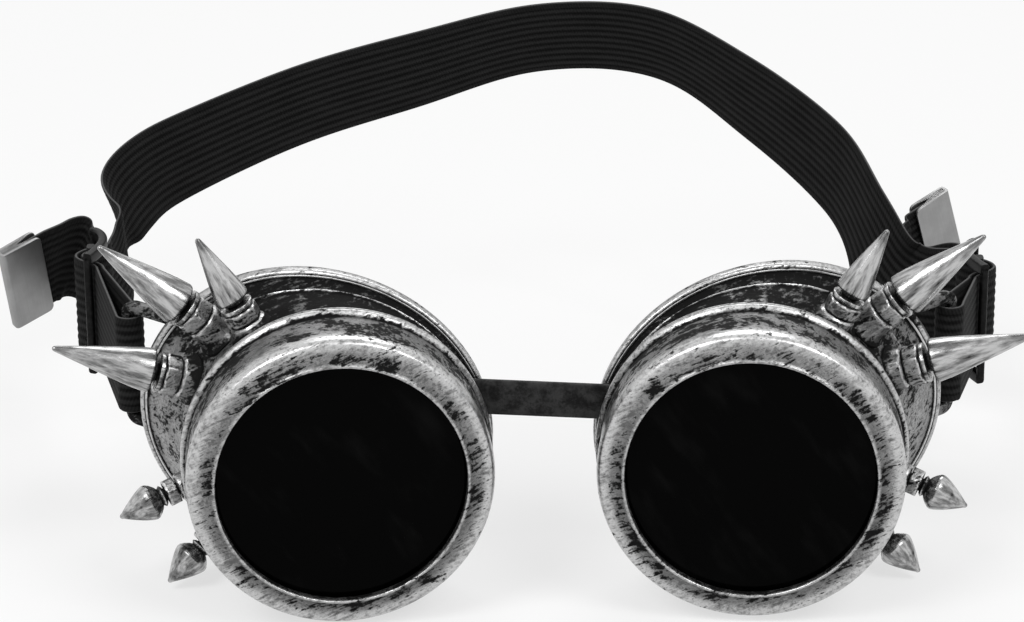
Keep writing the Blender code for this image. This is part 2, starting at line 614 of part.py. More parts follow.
def ribbon(name, route, material, settle=0.0):
    # The route's rows are x, y, z and lean; the band stands on edge and leans about its own run.
    # Within the settle length of either end the band stays upright however steeply it climbs.
    places, leans = route[:, :3], np.radians(route[:, 3])
    runs = np.gradient(places, axis=0)
    steps = np.linalg.norm(np.diff(places, axis=0), axis=1)
    travel = np.concatenate([[0.0], np.cumsum(steps)])
    from_end = np.minimum(travel, travel[-1] - travel)
    tilt_share = np.clip(from_end / settle, 0.0, 1.0)[:, None] if settle else 1.0
    runs /= np.linalg.norm(runs, axis=1)[:, None]
    upright = np.array([0.0, 0.0, 1.0]) - runs * runs[:, 2:3] * tilt_share
    upright /= np.linalg.norm(upright, axis=1)[:, None]
    sideways = np.cross(runs, upright)
    across = np.cos(leans)[:, None] * upright + np.sin(leans)[:, None] * sideways
    outward = np.cross(runs, across)
    rings = []
    for place, up, out in zip(places, across * STRAP_WIDTH / 2, outward * STRAP_THICKNESS / 2):
        rings.append([place + up + out, place + up - out, place - up - out, place - up + out])
    return finish_object(name, skinned_rings(rings, closed=False), material), runs[-1], across[-1]


def weave_offset(back):
    # How far outward the middle of the two layers lies: inside the end bars, outside the centre bar
    inner = SLIDER_THICKNESS / 2 + WEAVE_GAP + STRAP_THICKNESS + FIT_GAP / 2
    span = (SLIDER_LENGTH - SLIDER_SIDE_BAR) / 2
    phase = 2 * math.pi * (back - SLIDER_FRONT - SLIDER_SIDE_BAR / 2) / (2 * span)
    return -inner * math.cos(phase)


def layer_rows(side, sign):
    # One layer of the doubled strap, from the slider's rear bar forward to its front bar
    rear = SLIDER_FRONT + SLIDER_LENGTH - SLIDER_SIDE_BAR / 2
    front = SLIDER_FRONT + SLIDER_SIDE_BAR / 2
    backs = np.linspace(rear, front, WEAVE_ROWS)
    middle = np.array([(SLIDER_OUT + weave_offset(back), back) for back in backs])
    runs = np.gradient(middle, axis=0)
    runs /= np.linalg.norm(runs, axis=1)[:, None]
    outward = np.stack([-runs[:, 1], runs[:, 0]], axis=1)
    layer = middle + outward * sign * (STRAP_THICKNESS + FIT_GAP) / 2
    level = SLIDER_LEVEL[side]
    return [(side * out, back, level, 0.0) for out, back in layer]


def strap_end(side, materials):
    # In through the slider, round the lug's bar, back through the slider and out to the tail
    level = SLIDER_LEVEL[side]
    inner = layer_rows(side, -1)
    outer = layer_rows(side, 1)[::-1]
    turn_radius = LUG_BAR / math.sqrt(2.0) + FIT_GAP + STRAP_THICKNESS / 2
    run = Vector((SLIDER_OUT - LUG_BAR_OUT, SLIDER_FRONT - LUG_BAR_BACK)).normalized()
    out = Vector((run.y, -run.x))
    loop = []
    for step in range(LOOP_STEPS + 1):
        turn = math.pi * step / LOOP_STEPS
        place = Vector((LUG_BAR_OUT, LUG_BAR_BACK)) - out * turn_radius * math.cos(turn)
        place -= run * turn_radius * math.sin(turn)
        loop.append((side * place.x, place.y, LUG_CENTRE_HEIGHT, 0.0))
    lead_in = midway(inner[-1], loop[0], 0.5)
    lead_out = midway(loop[-1], outer[0], 0.5)
    entry = (inner[0][0], SLIDER_FRONT + SLIDER_LENGTH + FIT_GAP, level, 0.0)
    rows = [entry] + inner + smooth_between(inner[-1], lead_in, loop[0]) + loop
    rows += smooth_between(loop[-1], lead_out, outer[0]) + outer
    exit_place = (outer[-1][0], SLIDER_FRONT + SLIDER_LENGTH, level, 0.0)
    tail = [exit_place]
    for out_share, back_share, up_share, lean in TAIL_ROUTE_SHARES[side]:
        tail.append((exit_place[0] + side * TAIL_REACH * out_share, exit_place[1] + TAIL_REACH * back_share,
                     level + TAIL_REACH * up_share, lean))
    route = np.vstack([np.array(rows), smooth_route(tail[:-1], TAIL_ROWS_PER_SPAN), straight_run(tail[-2], tail[-1])])
    item, run, across = ribbon(SIDE_NAME[side] + "_strap_end", route, materials["black elastic"])
    make_clamp(side, route[-1, :3], run, across, materials)


def midway(a, b, share):
    return tuple(p + (q - p) * share for p, q in zip(a, b))


def straight_run(start, aim):
    # The stretch that the clamp grips: straight from its start towards the aim
    start, aim = np.array(start), np.array(aim)
    step = (aim - start) / np.linalg.norm((aim - start)[:3])
    lean = aim[3]
    rows = []
    for share in GRIP_ROW_SHARES:
        row = start + step * CLAMP_GRIP * share
        row[3] = lean
        rows.append(row)
    return np.array(rows)


def smooth_between(a, b, c):
    return [midway(a, b, 0.5), b, midway(b, c, 0.5)]


def make_clamp(side, end, run, across, materials):
    # A folded sheet over the strap's end: a U outline drawn across the strap's width
    run, across = Vector(run), Vector(across)
    normal = run.cross(across)
    slot = STRAP_THICKNESS / 2 + FIT_GAP
    skin = slot + CLAMP_SHEET
    tip = Vector(end) + run * (FIT_GAP + CLAMP_SHEET)
    outline = [(0.0, -skin), (0.0, skin), (-CLAMP_LENGTH, skin), (-CLAMP_LENGTH, slot),
               (-CLAMP_SHEET, slot), (-CLAMP_SHEET, -slot), (-CLAMP_LENGTH, -slot), (-CLAMP_LENGTH, -skin)]
    rings = []
    for edge in (-1, 1):
        start = tip + across * edge * CLAMP_WIDTH / 2
        rings.append([start + run * along + normal * off for along, off in outline])
    finish_object(SIDE_NAME[side] + "_tail_clamp", skinned_rings(rings, closed=False),
                  materials["satin steel"])


def make_band(materials):
    route = []
    for x_share, y_share, z_share, lean in BAND_ROUTE_SHARES:
        route.append((x_share * BAND_HALF_WIDTH, SLIDER_FRONT + SLIDER_LENGTH + y_share * BAND_DEPTH,
                      BAND_LEVEL + z_share * BAND_RISE, lean))
    rows = smooth_route(strap_entry(-1) + route + strap_entry(1)[::-1], BAND_ROWS_PER_SPAN)
    ribbon("head_strap", rows, materials["black elastic"], BAND_SETTLE)


def strap_entry(side):
    # The band leaves the slider's rear straight
    out, back, level, lean = layer_rows(side, -1)[0]
    rear = SLIDER_FRONT + SLIDER_LENGTH + 2 * FIT_GAP
    return [(out, rear, level, lean), (out, rear + STRAP_THICKNESS, level, lean)]


def bow_data(side, low, high):
    # The end bar swells towards the head between its straight ends, as seen from above
    skin = SLIDER_THICKNESS / 2 - TRIM_GAP
    outline = [(skin, SLIDER_BOW_RUN / 2), (skin, SLIDER_LENGTH - TRIM_GAP),
               (-SLIDER_BOW, SLIDER_LENGTH - TRIM_GAP), (-skin - SLIDER_BOW, SLIDER_LENGTH - SLIDER_BOW),
               (-skin - SLIDER_BOW, 2 * SLIDER_BOW_RUN), (-skin, SLIDER_BOW_RUN / 2)]
    rings = [[(side * across, back, level) for across, back in outline] for level in (low, high)]
    return skinned_rings(rings, closed=False)


def make_slider(side, materials):
    # A flat frame with a centre bar; its two slots run the height of the strap
    half_height = STRAP_WIDTH / 2 + 2 * FIT_GAP + SLIDER_END_BAR
    window = STRAP_WIDTH / 2 + 2 * FIT_GAP
    slot = (SLIDER_LENGTH - 2 * SLIDER_SIDE_BAR - SLIDER_CENTRE_BAR) / 2
    plate = box_data((-SLIDER_THICKNESS / 2, 0.0, -half_height), (SLIDER_THICKNESS / 2, SLIDER_LENGTH, half_height))
    slider = finish_object(SIDE_NAME[side] + "_slider", plate, materials["black plastic"])
    for count in range(2):
        front = SLIDER_SIDE_BAR + count * (slot + SLIDER_CENTRE_BAR)
        tool = finish_object(f"{SIDE_NAME[side]}_slot_tool_{count}",
                             box_data((-SLIDER_THICKNESS, front, -window), (SLIDER_THICKNESS, front + slot, window)),
                             materials["black plastic"])
        tool.parent = slider
        boolean(slider, tool, "DIFFERENCE")
    rounding = slider.modifiers.new("Rounding", "BEVEL")
    rounding.width = SLIDER_EDGE
    rounding.segments = 1
    for end in (-1, 1):
        low, high = sorted((end * (half_height - SLIDER_EDGE), end * (window + TRIM_GAP)))
        bow = finish_object(f"{SIDE_NAME[side]}_bow_tool_{end}", bow_data(side, low, high),
                            materials["black plastic"])
        bow.parent = slider
        boolean(slider, bow, "UNION")
    slider.location = (side * SLIDER_OUT, SLIDER_FRONT, SLIDER_LEVEL[side])


def move_to_footprint_middle():
    shift = Vector((FOOTPRINT_MIDDLE_X, FOOTPRINT_MIDDLE_Y, 0.0))
    for item in bpy.data.objects:
        if item.parent is None:
            item.location = item.location - shift


def main():
    clear_scene()
    materials = {
        "aged silver": make_material("aged silver", (0.42, 0.42, 0.42), 0.42, 0.85),
        "polished silver": make_material("polished silver", (0.72, 0.72, 0.72), 0.22, 1.0),
        "dark lens": make_material("dark lens", (0.004, 0.004, 0.004), 0.06, 0.0),
        "black rubber": make_material("black rubber", (0.02, 0.02, 0.02), 0.7, 0.0),
        "black strip": make_material("black strip", (0.03, 0.03, 0.03), 0.6, 0.0),
        "black elastic": make_material("black elastic", (0.015, 0.015, 0.015), 0.85, 0.0),
        "black plastic": make_material("black plastic", (0.02, 0.02, 0.02), 0.4, 0.0),
        "satin steel": make_material("satin steel", (0.5, 0.5, 0.5), 0.35, 1.0),
    }
    for side in (-1, 1):
        make_cup(side, materials)
        make_bezel(side, materials)
        make_lens(side, materials)
        make_gasket(side, materials)
        strap_end(side, materials)
        make_slider(side, materials)
    make_bridge(materials)
    make_band(materials)
    move_to_footprint_middle()


main()
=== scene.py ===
import math

import bpy
import numpy as np
from mathutils import Matrix, Vector


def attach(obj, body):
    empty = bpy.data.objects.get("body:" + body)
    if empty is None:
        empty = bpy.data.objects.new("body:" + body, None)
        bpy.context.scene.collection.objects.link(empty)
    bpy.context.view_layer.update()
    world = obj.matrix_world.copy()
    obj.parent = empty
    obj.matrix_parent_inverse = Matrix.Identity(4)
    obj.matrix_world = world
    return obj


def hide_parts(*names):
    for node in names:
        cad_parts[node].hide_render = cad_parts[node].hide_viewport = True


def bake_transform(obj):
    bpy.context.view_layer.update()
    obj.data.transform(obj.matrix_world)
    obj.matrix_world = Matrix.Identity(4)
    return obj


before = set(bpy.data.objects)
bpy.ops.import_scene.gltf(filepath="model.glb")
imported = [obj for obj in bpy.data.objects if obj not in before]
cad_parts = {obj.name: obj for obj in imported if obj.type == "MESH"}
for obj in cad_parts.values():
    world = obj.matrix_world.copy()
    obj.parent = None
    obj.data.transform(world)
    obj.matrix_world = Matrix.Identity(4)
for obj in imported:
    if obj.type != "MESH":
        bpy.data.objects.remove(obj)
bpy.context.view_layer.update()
print("frame loaded:", len(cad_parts), "nodes")

# All sizes below are in millimetres and degrees, and become metres when a mesh is made
mm = 0.001
sides = {-1: "left", 1: "right"}
stance = dict(lensSpacing=76.0, lensHeight=30.0, toeIn=5.0, middleX=-8.03, middleY=78.75)


# Shader building

class Wire:
    # One output of a node. Its sums, differences and products are Math nodes in its finish
    def __init__(self, finish, socket):
        self.finish, self.socket = finish, socket

    def maths(self, operation, first, second):
        # The operation on first and second, as a Math node
        return self.finish.node("Math", {0: first, 1: second}, operation=operation)

    def __add__(self, other):
        # This value plus the other
        return self.maths("ADD", self, other)

    __radd__ = __add__

    def __sub__(self, other):
        # This value minus the other
        return self.maths("SUBTRACT", self, other)

    def __rsub__(self, other):
        # The other value minus this one
        return self.maths("SUBTRACT", other, self)

    def __mul__(self, other):
        # This value times the other
        return self.maths("MULTIPLY", self, other)

    def above(self, other):
        # The larger of this value and the other
        return self.maths("MAXIMUM", self, other)


class NodeBench:
    # A node tree under way, and its last node's input that shows the result
    def __init__(self, tree, lastNode, lastInput):
        self.tree, self.result = tree, tree.nodes[lastNode].inputs[lastInput]

    def node(self, kind, sockets=None, output=0, **settings):
        # A new node with these settings, each socket wired or set, and the wire of its output
        made = self.tree.nodes.new("ShaderNode" + kind)
        for key, value in settings.items():
            setattr(made, key, value)
        for key, value in (sockets or {}).items():
            if isinstance(value, Wire):
                self.tree.links.new(value.socket, made.inputs[key])
            else:
                made.inputs[key].default_value = value
        return Wire(self, made.outputs[output])

    def places(self):
        # Each point's place in the frame of its own piece
        return self.node("TexCoord", output="Object")

    def painted(self, name, output="Fac"):
        # What the mesh holds under this name at each point
        return self.node("Attribute", output=output, attribute_name=name)

    def grain(self, places, size, detail, roughness, turn=(0.0, 0.0, 0.0)):
        # Noise whose features are size long, one number or one for each turned axis
        lengths = [value * mm for value in (size if hasattr(size, "__len__") else (size,) * 3)]
        turned = [math.radians(angle) for angle in turn]
        spread = self.node("Mapping", {"Vector": places, "Rotation": turned, "Scale": lengths},
                           vector_type="TEXTURE")
        return self.node("TexNoise", {"Vector": spread, "Scale": 1.0, "Detail": detail,
                                      "Roughness": roughness})

    def step(self, value, low, high):
        # 0 at low and 1 at high, 3 t squared less 2 t cubed between
        return self.node("MapRange", {"Value": value, "From Min": low, "From Max": high},
                         interpolation_type="SMOOTHSTEP")

    def blend(self, share, first, second):
        # First where share is 0, second where it is 1, mixed between
        colours = [(value, value, value, 1.0) if isinstance(value, float) else value
                   for value in (first, second)]
        return self.node("Mix", {0: share, 6: colours[0], 7: colours[1]}, 2, data_type="RGBA")

    def relief(self, height, depth, strength):
        # The normal of a surface raised by height times depth
        return self.node("Bump", {"Height": height, "Strength": strength, "Distance": depth * mm})


class Finish(NodeBench):
    # A material under way. Its constants go straight on the shader's own sockets
    def __init__(self, name, **constants):
        self.material = bpy.data.materials.new(name)
        self.material.use_nodes = True
        super().__init__(self.material.node_tree, "Material Output", "Surface")
        self.shader = self.tree.nodes["Principled BSDF"]
        for socket, value in constants.items():
            words = socket.replace("Ior", "IOR").replace("_", " ")
            self.shader.inputs[words].default_value = value

    def feed(self, **wires):
        # Each wire goes into the shader's input of its name
        for socket, wire in wires.items():
            self.tree.links.new(wire.socket, self.shader.inputs[socket.replace("_", " ")])
        return self.material


# Finishes. A pair is where a smooth step starts and ends, one number or three are the length of a
# noise's features, and the greys are linear

aged = dict(blotch=6.0, pit=0.8, brush=(7.0, 1.4, 0.75), brushTurn=(0.0, -24.0, 0.0),
            soot=(0.18, 0.60), shade=(0.52, 1.06), black=0.007, dull=0.12, bright=0.60, depth=0.30)


def agedSilver():
    # Silver brushed over black, which stays in the recesses, in streaks and in pits: soot is
    # 0.85 recess + 2.1 blotch + 2.1 brush + 1.1 pits, each noise about its middle
    finish = Finish("agedSilver", Specular_Ior_Level=0.04)
    places, recess = finish.places(), finish.painted("recess")
    blotch = finish.grain(places, aged["blotch"], 6.0, 0.62)
    pits = finish.grain(places, aged["pit"], 4.0, 0.7)
    brush = finish.grain(places, aged["brush"], 5.0, 0.68, turn=aged["brushTurn"])
    # Where recess is below zero, on the cup rim's bead, the silver is painted brighter than clean: a
    # painted highlight
    soot = recess * 0.85 + (blotch - 0.5) * 2.1 + (brush - 0.5) * 2.1 + (pits - 0.5) * 1.1
    dark = finish.step(soot, *aged["soot"])
    shade = blotch * 0.7 + brush * 1.1 + (pits - 0.5) * 0.8 - recess * 0.32
    silver = finish.blend(finish.step(shade, *aged["shade"]), aged["dull"], aged["bright"])
    rough = (pits * 0.5 + blotch * 0.5) * (recess + 0.30)
    return finish.feed(Base_Color=finish.blend(dark, silver, aged["black"]),
                       Metallic=0.96 - dark * 0.86,
                       Roughness=0.30 + dark * 0.3 + (pits - 0.5) * 0.18,
                       Normal=finish.relief(rough + dark * -0.14, aged["depth"], 0.8))


polished = dict(line=(0.45, 9.0, 0.45), cloud=(1.3, 14.0, 1.3), soot=(0.16, 0.60), tone=(0.38, 0.60),
                black=0.02, bright=0.52, dull=0.17, depth=0.05)


def polishedSilver():
    # Turned spikes: bright, with fine dark marks along them and blackened roots. Soot is
    # 0.9 recess + 1.5 lines + 1.5 clouds, each noise about its middle
    finish = Finish("polishedSilver", Specular_Ior_Level=0.2)
    own, recess = finish.painted("own", "Vector"), finish.painted("recess")
    lines = finish.grain(own, polished["line"], 4.0, 0.65)
    clouds = finish.grain(own, polished["cloud"], 3.0, 0.55)
    soot = recess * 0.9 + (lines - 0.5) * 1.5 + (clouds - 0.5) * 1.5
    dark = finish.step(soot, *polished["soot"])
    tone = finish.step(lines * 0.3 + clouds * 0.7, *polished["tone"])
    metal = finish.blend(tone, polished["bright"], polished["dull"])
    return finish.feed(Base_Color=finish.blend(dark, metal, polished["black"]),
                       Metallic=1.0 - dark * 0.35,
                       Roughness=0.24 + dark * 0.2 + (clouds - 0.5) * 0.12,
                       Normal=finish.relief(lines - dark * 0.3, polished["depth"], 0.7))


# The groove and rib greys are painted shade in the grooves and a painted highlight on the rib tops,
# and the selvedge grey is a painted highlight along the band's edges
elastic = dict(pick=0.62, slant=1.9, fluff=(0.5, 0.22, 0.5), worn=(9.0, 2.5, 9.0), tone=(-0.1, 0.95),
               shadedGroove=0.0012, rib=0.019, selvedge=0.10, selvedgeHighlightStep=(1.1, 1.9), depth=0.10)


def blackElastic():
    # Own is (along, across, out), and short picks cross each rib, as the sine of
    # 2 pi (along / pick + across / slant). The ribs' tops are painted paler than the grooves, a
    # painted highlight on the ribs and painted shade in the grooves, and the selvedges, where rib is
    # above one, get a paler painted highlight still
    finish = Finish("blackElastic", Specular_Ior_Level=0.10, Sheen_Weight=0.02, Sheen_Roughness=0.5)
    own, rib = finish.painted("own", "Vector"), finish.painted("rib")
    along, across = (finish.node("SeparateXYZ", {"Vector": own}, axis) for axis in (0, 1))
    pick, slant = (2 * math.pi / (elastic[key] * mm) for key in ("pick", "slant"))
    picks = finish.node("Math", {0: along * pick + across * slant}, operation="SINE")
    fluff = finish.grain(own, elastic["fluff"], 3.0, 0.7)
    worn = finish.grain(own, elastic["worn"], 3.0, 0.5)
    tone = rib * 0.75 + picks * 0.10 + (fluff - 0.5) * 1.0 + (worn - 0.5) * 0.6
    # Painted shade in the grooves and a painted highlight on the rib tops, rising with the rib
    # attribute
    weaveWithRibShade = finish.blend(finish.step(tone, *elastic["tone"]), elastic["shadedGroove"], elastic["rib"])
    # A painted highlight along the band's two edges, where rib is above one
    selvedge = finish.step(rib, *elastic["selvedgeHighlightStep"])
    return finish.feed(Base_Color=finish.blend(selvedge, weaveWithRibShade, elastic["selvedge"]),
                       Roughness=0.78 + fluff * 0.2,
                       Normal=finish.relief(picks * 0.25 + fluff * 0.6, elastic["depth"], 0.8))


# The plainer finishes. Each noise has its length, detail and roughness, its share in the tone and
# its part in the finish's roughness, and the first one is the relief, as (depth, strength)
plainLooks = {
    # Sliders: moulded, with upright scuffs
    "black plastic": dict(
        constants=dict(Specular_Ior_Level=0.10), tone=(0.35, 0.75), greys=(0.003, 0.014), rough=0.26,
        noises=((0.5, 4.0, 0.6, 0.0, 0.0), ((1.0, 6.0, 1.0), 4.0, 0.65, 1.0, 0.22)),
        relief=(0.04, 0.5)),
    # Bridge strip: dull, finely mottled
    "black strip": dict(
        constants=dict(Specular_Ior_Level=0.12), tone=(0.38, 0.64), greys=(0.006, 0.040), rough=0.48,
        noises=((0.6, 5.0, 0.7, 0.4, 0.25), (3.0, 3.0, 0.5, 0.6, 0.0)), relief=(0.10, 0.7)),
    # Pressed clamp sheet: fine brush lines along the strap's width
    "satin steel": dict(
        constants=dict(Metallic=1.0), own=True, tone=(0.3, 0.7), greys=(0.27, 0.34), rough=0.42,
        noises=(((0.35, 9.0, 0.35), 4.0, 0.7, 0.35, 0.10), (5.0, 3.0, 0.5, 0.65, 0.0)),
        relief=(0.01, 0.5)),
    # Dark glass with a few faint slanting smears
    "dark lens": dict(
        constants=dict(Specular_Ior_Level=0.025), tone=(0.52, 0.85), greys=(0.0004, 0.003), rough=0.07,
        noises=(((14.0, 14.0, 5.0), 3.0, 0.5, 1.0, 0.10),), turn=(0.0, 55.0, 0.0)),
    # Gaskets: matt, with a fine grain
    "black rubber": dict(
        constants=dict(Specular_Ior_Level=0.2), greys=(0.004, 0.016), rough=0.62,
        noises=((0.5, 4.0, 0.6, 1.0, 0.2),), relief=(0.05, 0.5)),
}


def plainFinish(slot, look):
    # The tone is the sum of share x noise, stepped from dark to pale where it has a step, and the
    # roughness is its base and the sum of part x noise
    first, second = slot.split()
    finish = Finish(first + second.capitalize(), **look["constants"])
    places = finish.painted("own", "Vector") if "own" in look else finish.places()
    tone, rough, grains = 0.0, look["rough"], []
    for size, detail, roughness, share, part in look["noises"]:
        grains.append(finish.grain(places, size, detail, roughness, look.get("turn", (0.0, 0.0, 0.0))))
        tone = grains[-1] * share + tone if share else tone
        rough = grains[-1] * part + rough if part else rough
    tone = finish.step(tone, *look["tone"]) if "tone" in look else tone
    if "relief" in look:
        finish.feed(Normal=finish.relief(grains[0], *look["relief"]))
    return finish.feed(Base_Color=finish.blend(tone, *look["greys"]), Roughness=rough)


finishes = {"aged silver": agedSilver(), "polished silver": polishedSilver(),
            "black elastic": blackElastic()}
for slot, look in plainLooks.items():
    finishes[slot] = plainFinish(slot, look)
print("finishes made:", len(finishes))


# Surfaces

def turnsRound(steps):
    # The angles of a whole turn in even steps
    return np.linspace(0.0, 2 * math.pi, steps, endpoint=False)


def pointsOf(*columns):
    # Arrays spread to one shape, as the columns of one array
    return np.stack(np.broadcast_arrays(*columns), axis=-1)


def carriedRound(radius, height, turns):
    # Points (radius cos turn, height, radius sin turn) of every row at every turn
    return pointsOf(radius * np.cos(turns), height, radius * np.sin(turns))


def powered(wave, power):
    # A wave's size to a power, its sign kept; below one it squares a round section
    return np.sign(wave) * np.abs(wave) ** power


def unitRows(rows):
    # Each row over its own length
    return rows / np.linalg.norm(rows, axis=1)[:, None]


def gridQuads(rows, columns, closedRows):
    # Corner numbers of every cell of a grid stored row by row; the columns always close
    here = np.arange(rows * columns).reshape(rows, columns)
    corners = [np.roll(here, (-down, -along), (0, 1))
               for down, along in ((0, 0), (0, 1), (1, 1), (1, 0))]
    return np.stack(corners, axis=-1)[:rows if closedRows else rows - 1].reshape(-1, 4)


def closedSkin(grid, ringed=False, recess=0.0, own=None, rib=0.0):
    # A grid (rows, columns, xyz) made a closed skin: a ringed one joins its last row to its first,
    # another closes each end by a fan. The sign of the sum of a . (b x c) over its triangles tells
    # if it is inside out, and then every face is turned. The columns of its table are the point, its
    # own place, recess and rib
    rows, columns = grid.shape[:2]
    paints = [np.broadcast_to(paint, (rows, columns))[..., None] for paint in (recess, rib)]
    table = np.concatenate([grid, grid if own is None else own, *paints], axis=-1)
    flat = table.reshape(rows * columns, -1)
    quads, fans = gridQuads(rows, columns, ringed), np.zeros((0, 3), dtype=int)
    if not ringed:
        column, last, total = np.arange(columns), (rows - 1) * columns, rows * columns
        following = np.roll(column, -1)
        flat = np.vstack([flat, table[0].mean(axis=0), table[-1].mean(axis=0)])
        fans = np.vstack([pointsOf(following, column, total),
                          pointsOf(last + column, last + following, total + 1)])
    triangles = np.vstack([quads[:, [0, 1, 2]], quads[:, [0, 2, 3]], fans])
    a, b, c = (flat[triangles[:, corner], :3] for corner in range(3))
    if np.einsum("ij,ij->i", a, np.cross(b, c)).sum() < 0:
        quads, fans = quads[:, ::-1], fans[:, ::-1]
    return flat, quads, fans


def addedToScene(name, data):
    # A new object of the data, in the scene
    made = bpy.data.objects.new(name, data)
    bpy.context.scene.collection.objects.link(made)
    return made


def makePiece(name, skins, slot, body, node, sharpAngle=38.0):
    # Joins closed skins into one mesh in metres, paints it, and gives it to its body
    faces, start = [], 0
    for flat, quads, fans in skins:
        faces += (quads + start).tolist() + (fans + start).tolist()
        start += len(flat)
    table = np.vstack([flat for flat, quads, fans in skins])
    mesh = bpy.data.meshes.new(name)
    mesh.from_pydata((table[:, :3] * mm).tolist(), [], faces)
    for paint, kind, field, values in (("recess", "FLOAT", "value", table[:, 6]),
                                       ("rib", "FLOAT", "value", table[:, 7]),
                                       ("own", "FLOAT_VECTOR", "vector", table[:, 3:6] * mm)):
        values = values.astype(np.float32).ravel()
        mesh.attributes.new(paint, kind, "POINT").data.foreach_set(field, values)
    mesh.shade_smooth()
    mesh.set_sharp_from_angle(angle=math.radians(sharpAngle))
    mesh.materials.append(finishes[slot])
    piece = addedToScene(name, mesh)
    if body:
        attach(piece, body)
    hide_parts(node)
    return piece


def softCorners(rows, cuts, steps=5, closed=True, measured=None):
    # Each corner P of an outline becomes the curve (1-t)^2 A + 2t(1-t) P + t^2 B, where A and B lie
    # the cut back along its two edges, at most 0.48 of an edge. An edge's length counts the first
    # measured columns, or all
    points = np.asarray(rows, dtype=float)
    before, after = np.roll(points, 1, axis=0), np.roll(points, -1, axis=0)
    shareBefore, shareAfter = (
        np.minimum(cuts / (np.linalg.norm((other - points)[:, :measured], axis=1) + 1e-9), 0.48)
        for other in (before, after))
    a = points + (before - points) * shareBefore[:, None]
    b = points + (after - points) * shareAfter[:, None]
    if not closed:
        a[0], b[0], a[-1], b[-1] = points[0], points[0], points[-1], points[-1]
    t = np.linspace(0.0, 1.0, steps)[None, :, None]
    curve = (1 - t) ** 2 * a[:, None] + 2 * t * (1 - t) * points[:, None] + t ** 2 * b[:, None]
    return curve.reshape(-1, points.shape[1])


def onCup(side, out, back, up):
    # One cup's outward, back and up to the world: mirrored by side, turned by the toe-in about the
    # upright line through the lens centre, then moved there and to the footprint's middle
    turn = math.radians(-side * stance["toeIn"])
    across = side * out
    x = across * math.cos(turn) - back * math.sin(turn) + side * stance["lensSpacing"] / 2
    y = across * math.sin(turn) + back * math.cos(turn)
    return pointsOf(x - stance["middleX"], y - stance["middleY"], up + stance["lensHeight"])


def inWorld(points):
    # From the frame whose origin lies between the lenses to the footprint's frame
    return points - np.array([stance["middleX"], stance["middleY"], 0.0])


def turnedOnCup(side, profile, steps, ringed=True):
    # Rows of (radius, place back, recess) carried round the lens axis
    radius, back, recess = profile.T[..., None]
    own = carriedRound(radius, back, turnsRound(steps))
    return closedSkin(onCup(side, *np.moveaxis(own, -1, 0)), ringed, recess=recess)


# Bezels, lenses and gaskets

# Rows of radius, place back from the front, blackening and how far the corner is rounded
bezel = dict(steps=288, depth=16.4, outline=(
    (25.9, 1.8, 0.6, 0.0), (23.5, 1.8, 0.75, 0.1), (23.5, 0.35, 0.5, 0.15), (23.68, 0.05, 0.1, 0.1),
    (24.0, 0.05, 0.25, 0.15), (24.4, 0.5, 0.55, 0.2), (26.3, 1.3, 0.40, 0.7), (27.3, 1.0, 0.02, 0.5),
    (28.4, 1.35, 0.0, 0.8), (28.95, 3.0, 0.0, 0.9), (28.85, 5.0, 0.36, 1.0), (28.75, 7.0, 0.52, 0.8),
    (28.75, 12.6, 0.50, 1.0), (28.6, 13.7, 0.85, 0.3), (29.3, 14.15, 0.10, 0.3),
    (29.7, 14.6, 0.0, 0.35), (29.6, 15.3, 0.05, 0.3), (29.25, 15.5, 0.9, 0.1),
    (29.6, 15.75, 0.1, 0.2), (29.4, 16.4, 0.3, 0.3), (26.4, 16.4, 0.8, 0.3), (25.9, 15.9, 0.8, 0.3)))

for side, name in sides.items():
    rows = np.array(bezel["outline"])
    profile = softCorners(rows[:, :3], rows[:, 3], measured=2)
    makePiece(name + "BezelRing", [turnedOnCup(side, profile, bezel["steps"])],
              "aged silver", name + "_bezel_ring", name + "_bezel")

# A dished disc behind the bezel's lip
lens = dict(steps=128, radius=25.0, front=2.1, back=4.3, dish=0.5, rows=14, shares=(0.03, 0.985),
            bevel=0.3)

for side, name in sides.items():
    # Both faces bulge forward by dish (1 - share^2) at each share of the radius
    share = np.linspace(*lens["shares"], lens["rows"])
    bulge = lens["dish"] * (1 - share ** 2)
    front, back = (pointsOf(lens["radius"] * share, lens[face] - bulge, 0.0)
                   for face in ("front", "back"))
    edge = [(lens["radius"], lens["front"] + lens["bevel"], 0.0),
            (lens["radius"], lens["back"] - lens["bevel"], 0.0)]
    profile = np.vstack([front, edge, back[::-1]])
    makePiece(name + "DarkLens", [turnedOnCup(side, profile, lens["steps"], ringed=False)],
              "dark lens", name + "_lens_set", name + "_lens")

print("bezels and lenses made")


# Cup shells, with their bosses and strap lugs

cup = dict(steps=256, collarInner=22.8, collarOuter=25.4, collarFront=5.9, threadFront=6.5,
           threadRows=44, threadPitch=3.0, threadHeight=0.22, shoulderRadius=27.6, shoulderPlace=16.7,
           shoulderWidth=0.6, neck=26.6, wall=2.4, halfWidth=33.6, halfHeight=30.7, shift=3.1,
           rimDepth=35.8, rimSlope=17.5, rimThickness=3.0, ledge=2.9, waist=0.5, flare=1.8,
           bodyEnd=0.97, bodyRows=34, insideRows=14)
# The cast unevenness: height, the turn where it is strongest, and (waves a turn, radians a mm back,
# start) of each wave
lumps = dict(height=0.48, turn=0.35, waves=((7, 0.9, 0.0), (13, -1.3, 0.0), (4, 0.5, 1.0)))
# The thin raised line round the channel: its share of the shell, half width, height and fade
ridge = dict(share=0.78, width=0.011, height=0.32, turn=2.3, fade=(1.5, 0.9), span=0.03, rows=9)
# The blackening is full in the channel over the top and on the nose side, lighter at the temple
blackening = dict(collar=0.5, thread=0.55, shoulder=0.6, channel=0.62, nose=0.30, noseTurn=2.3,
                  temple=0.32, templeTurn=-0.55, templePower=1.3, ridge=0.75, inside=0.45)
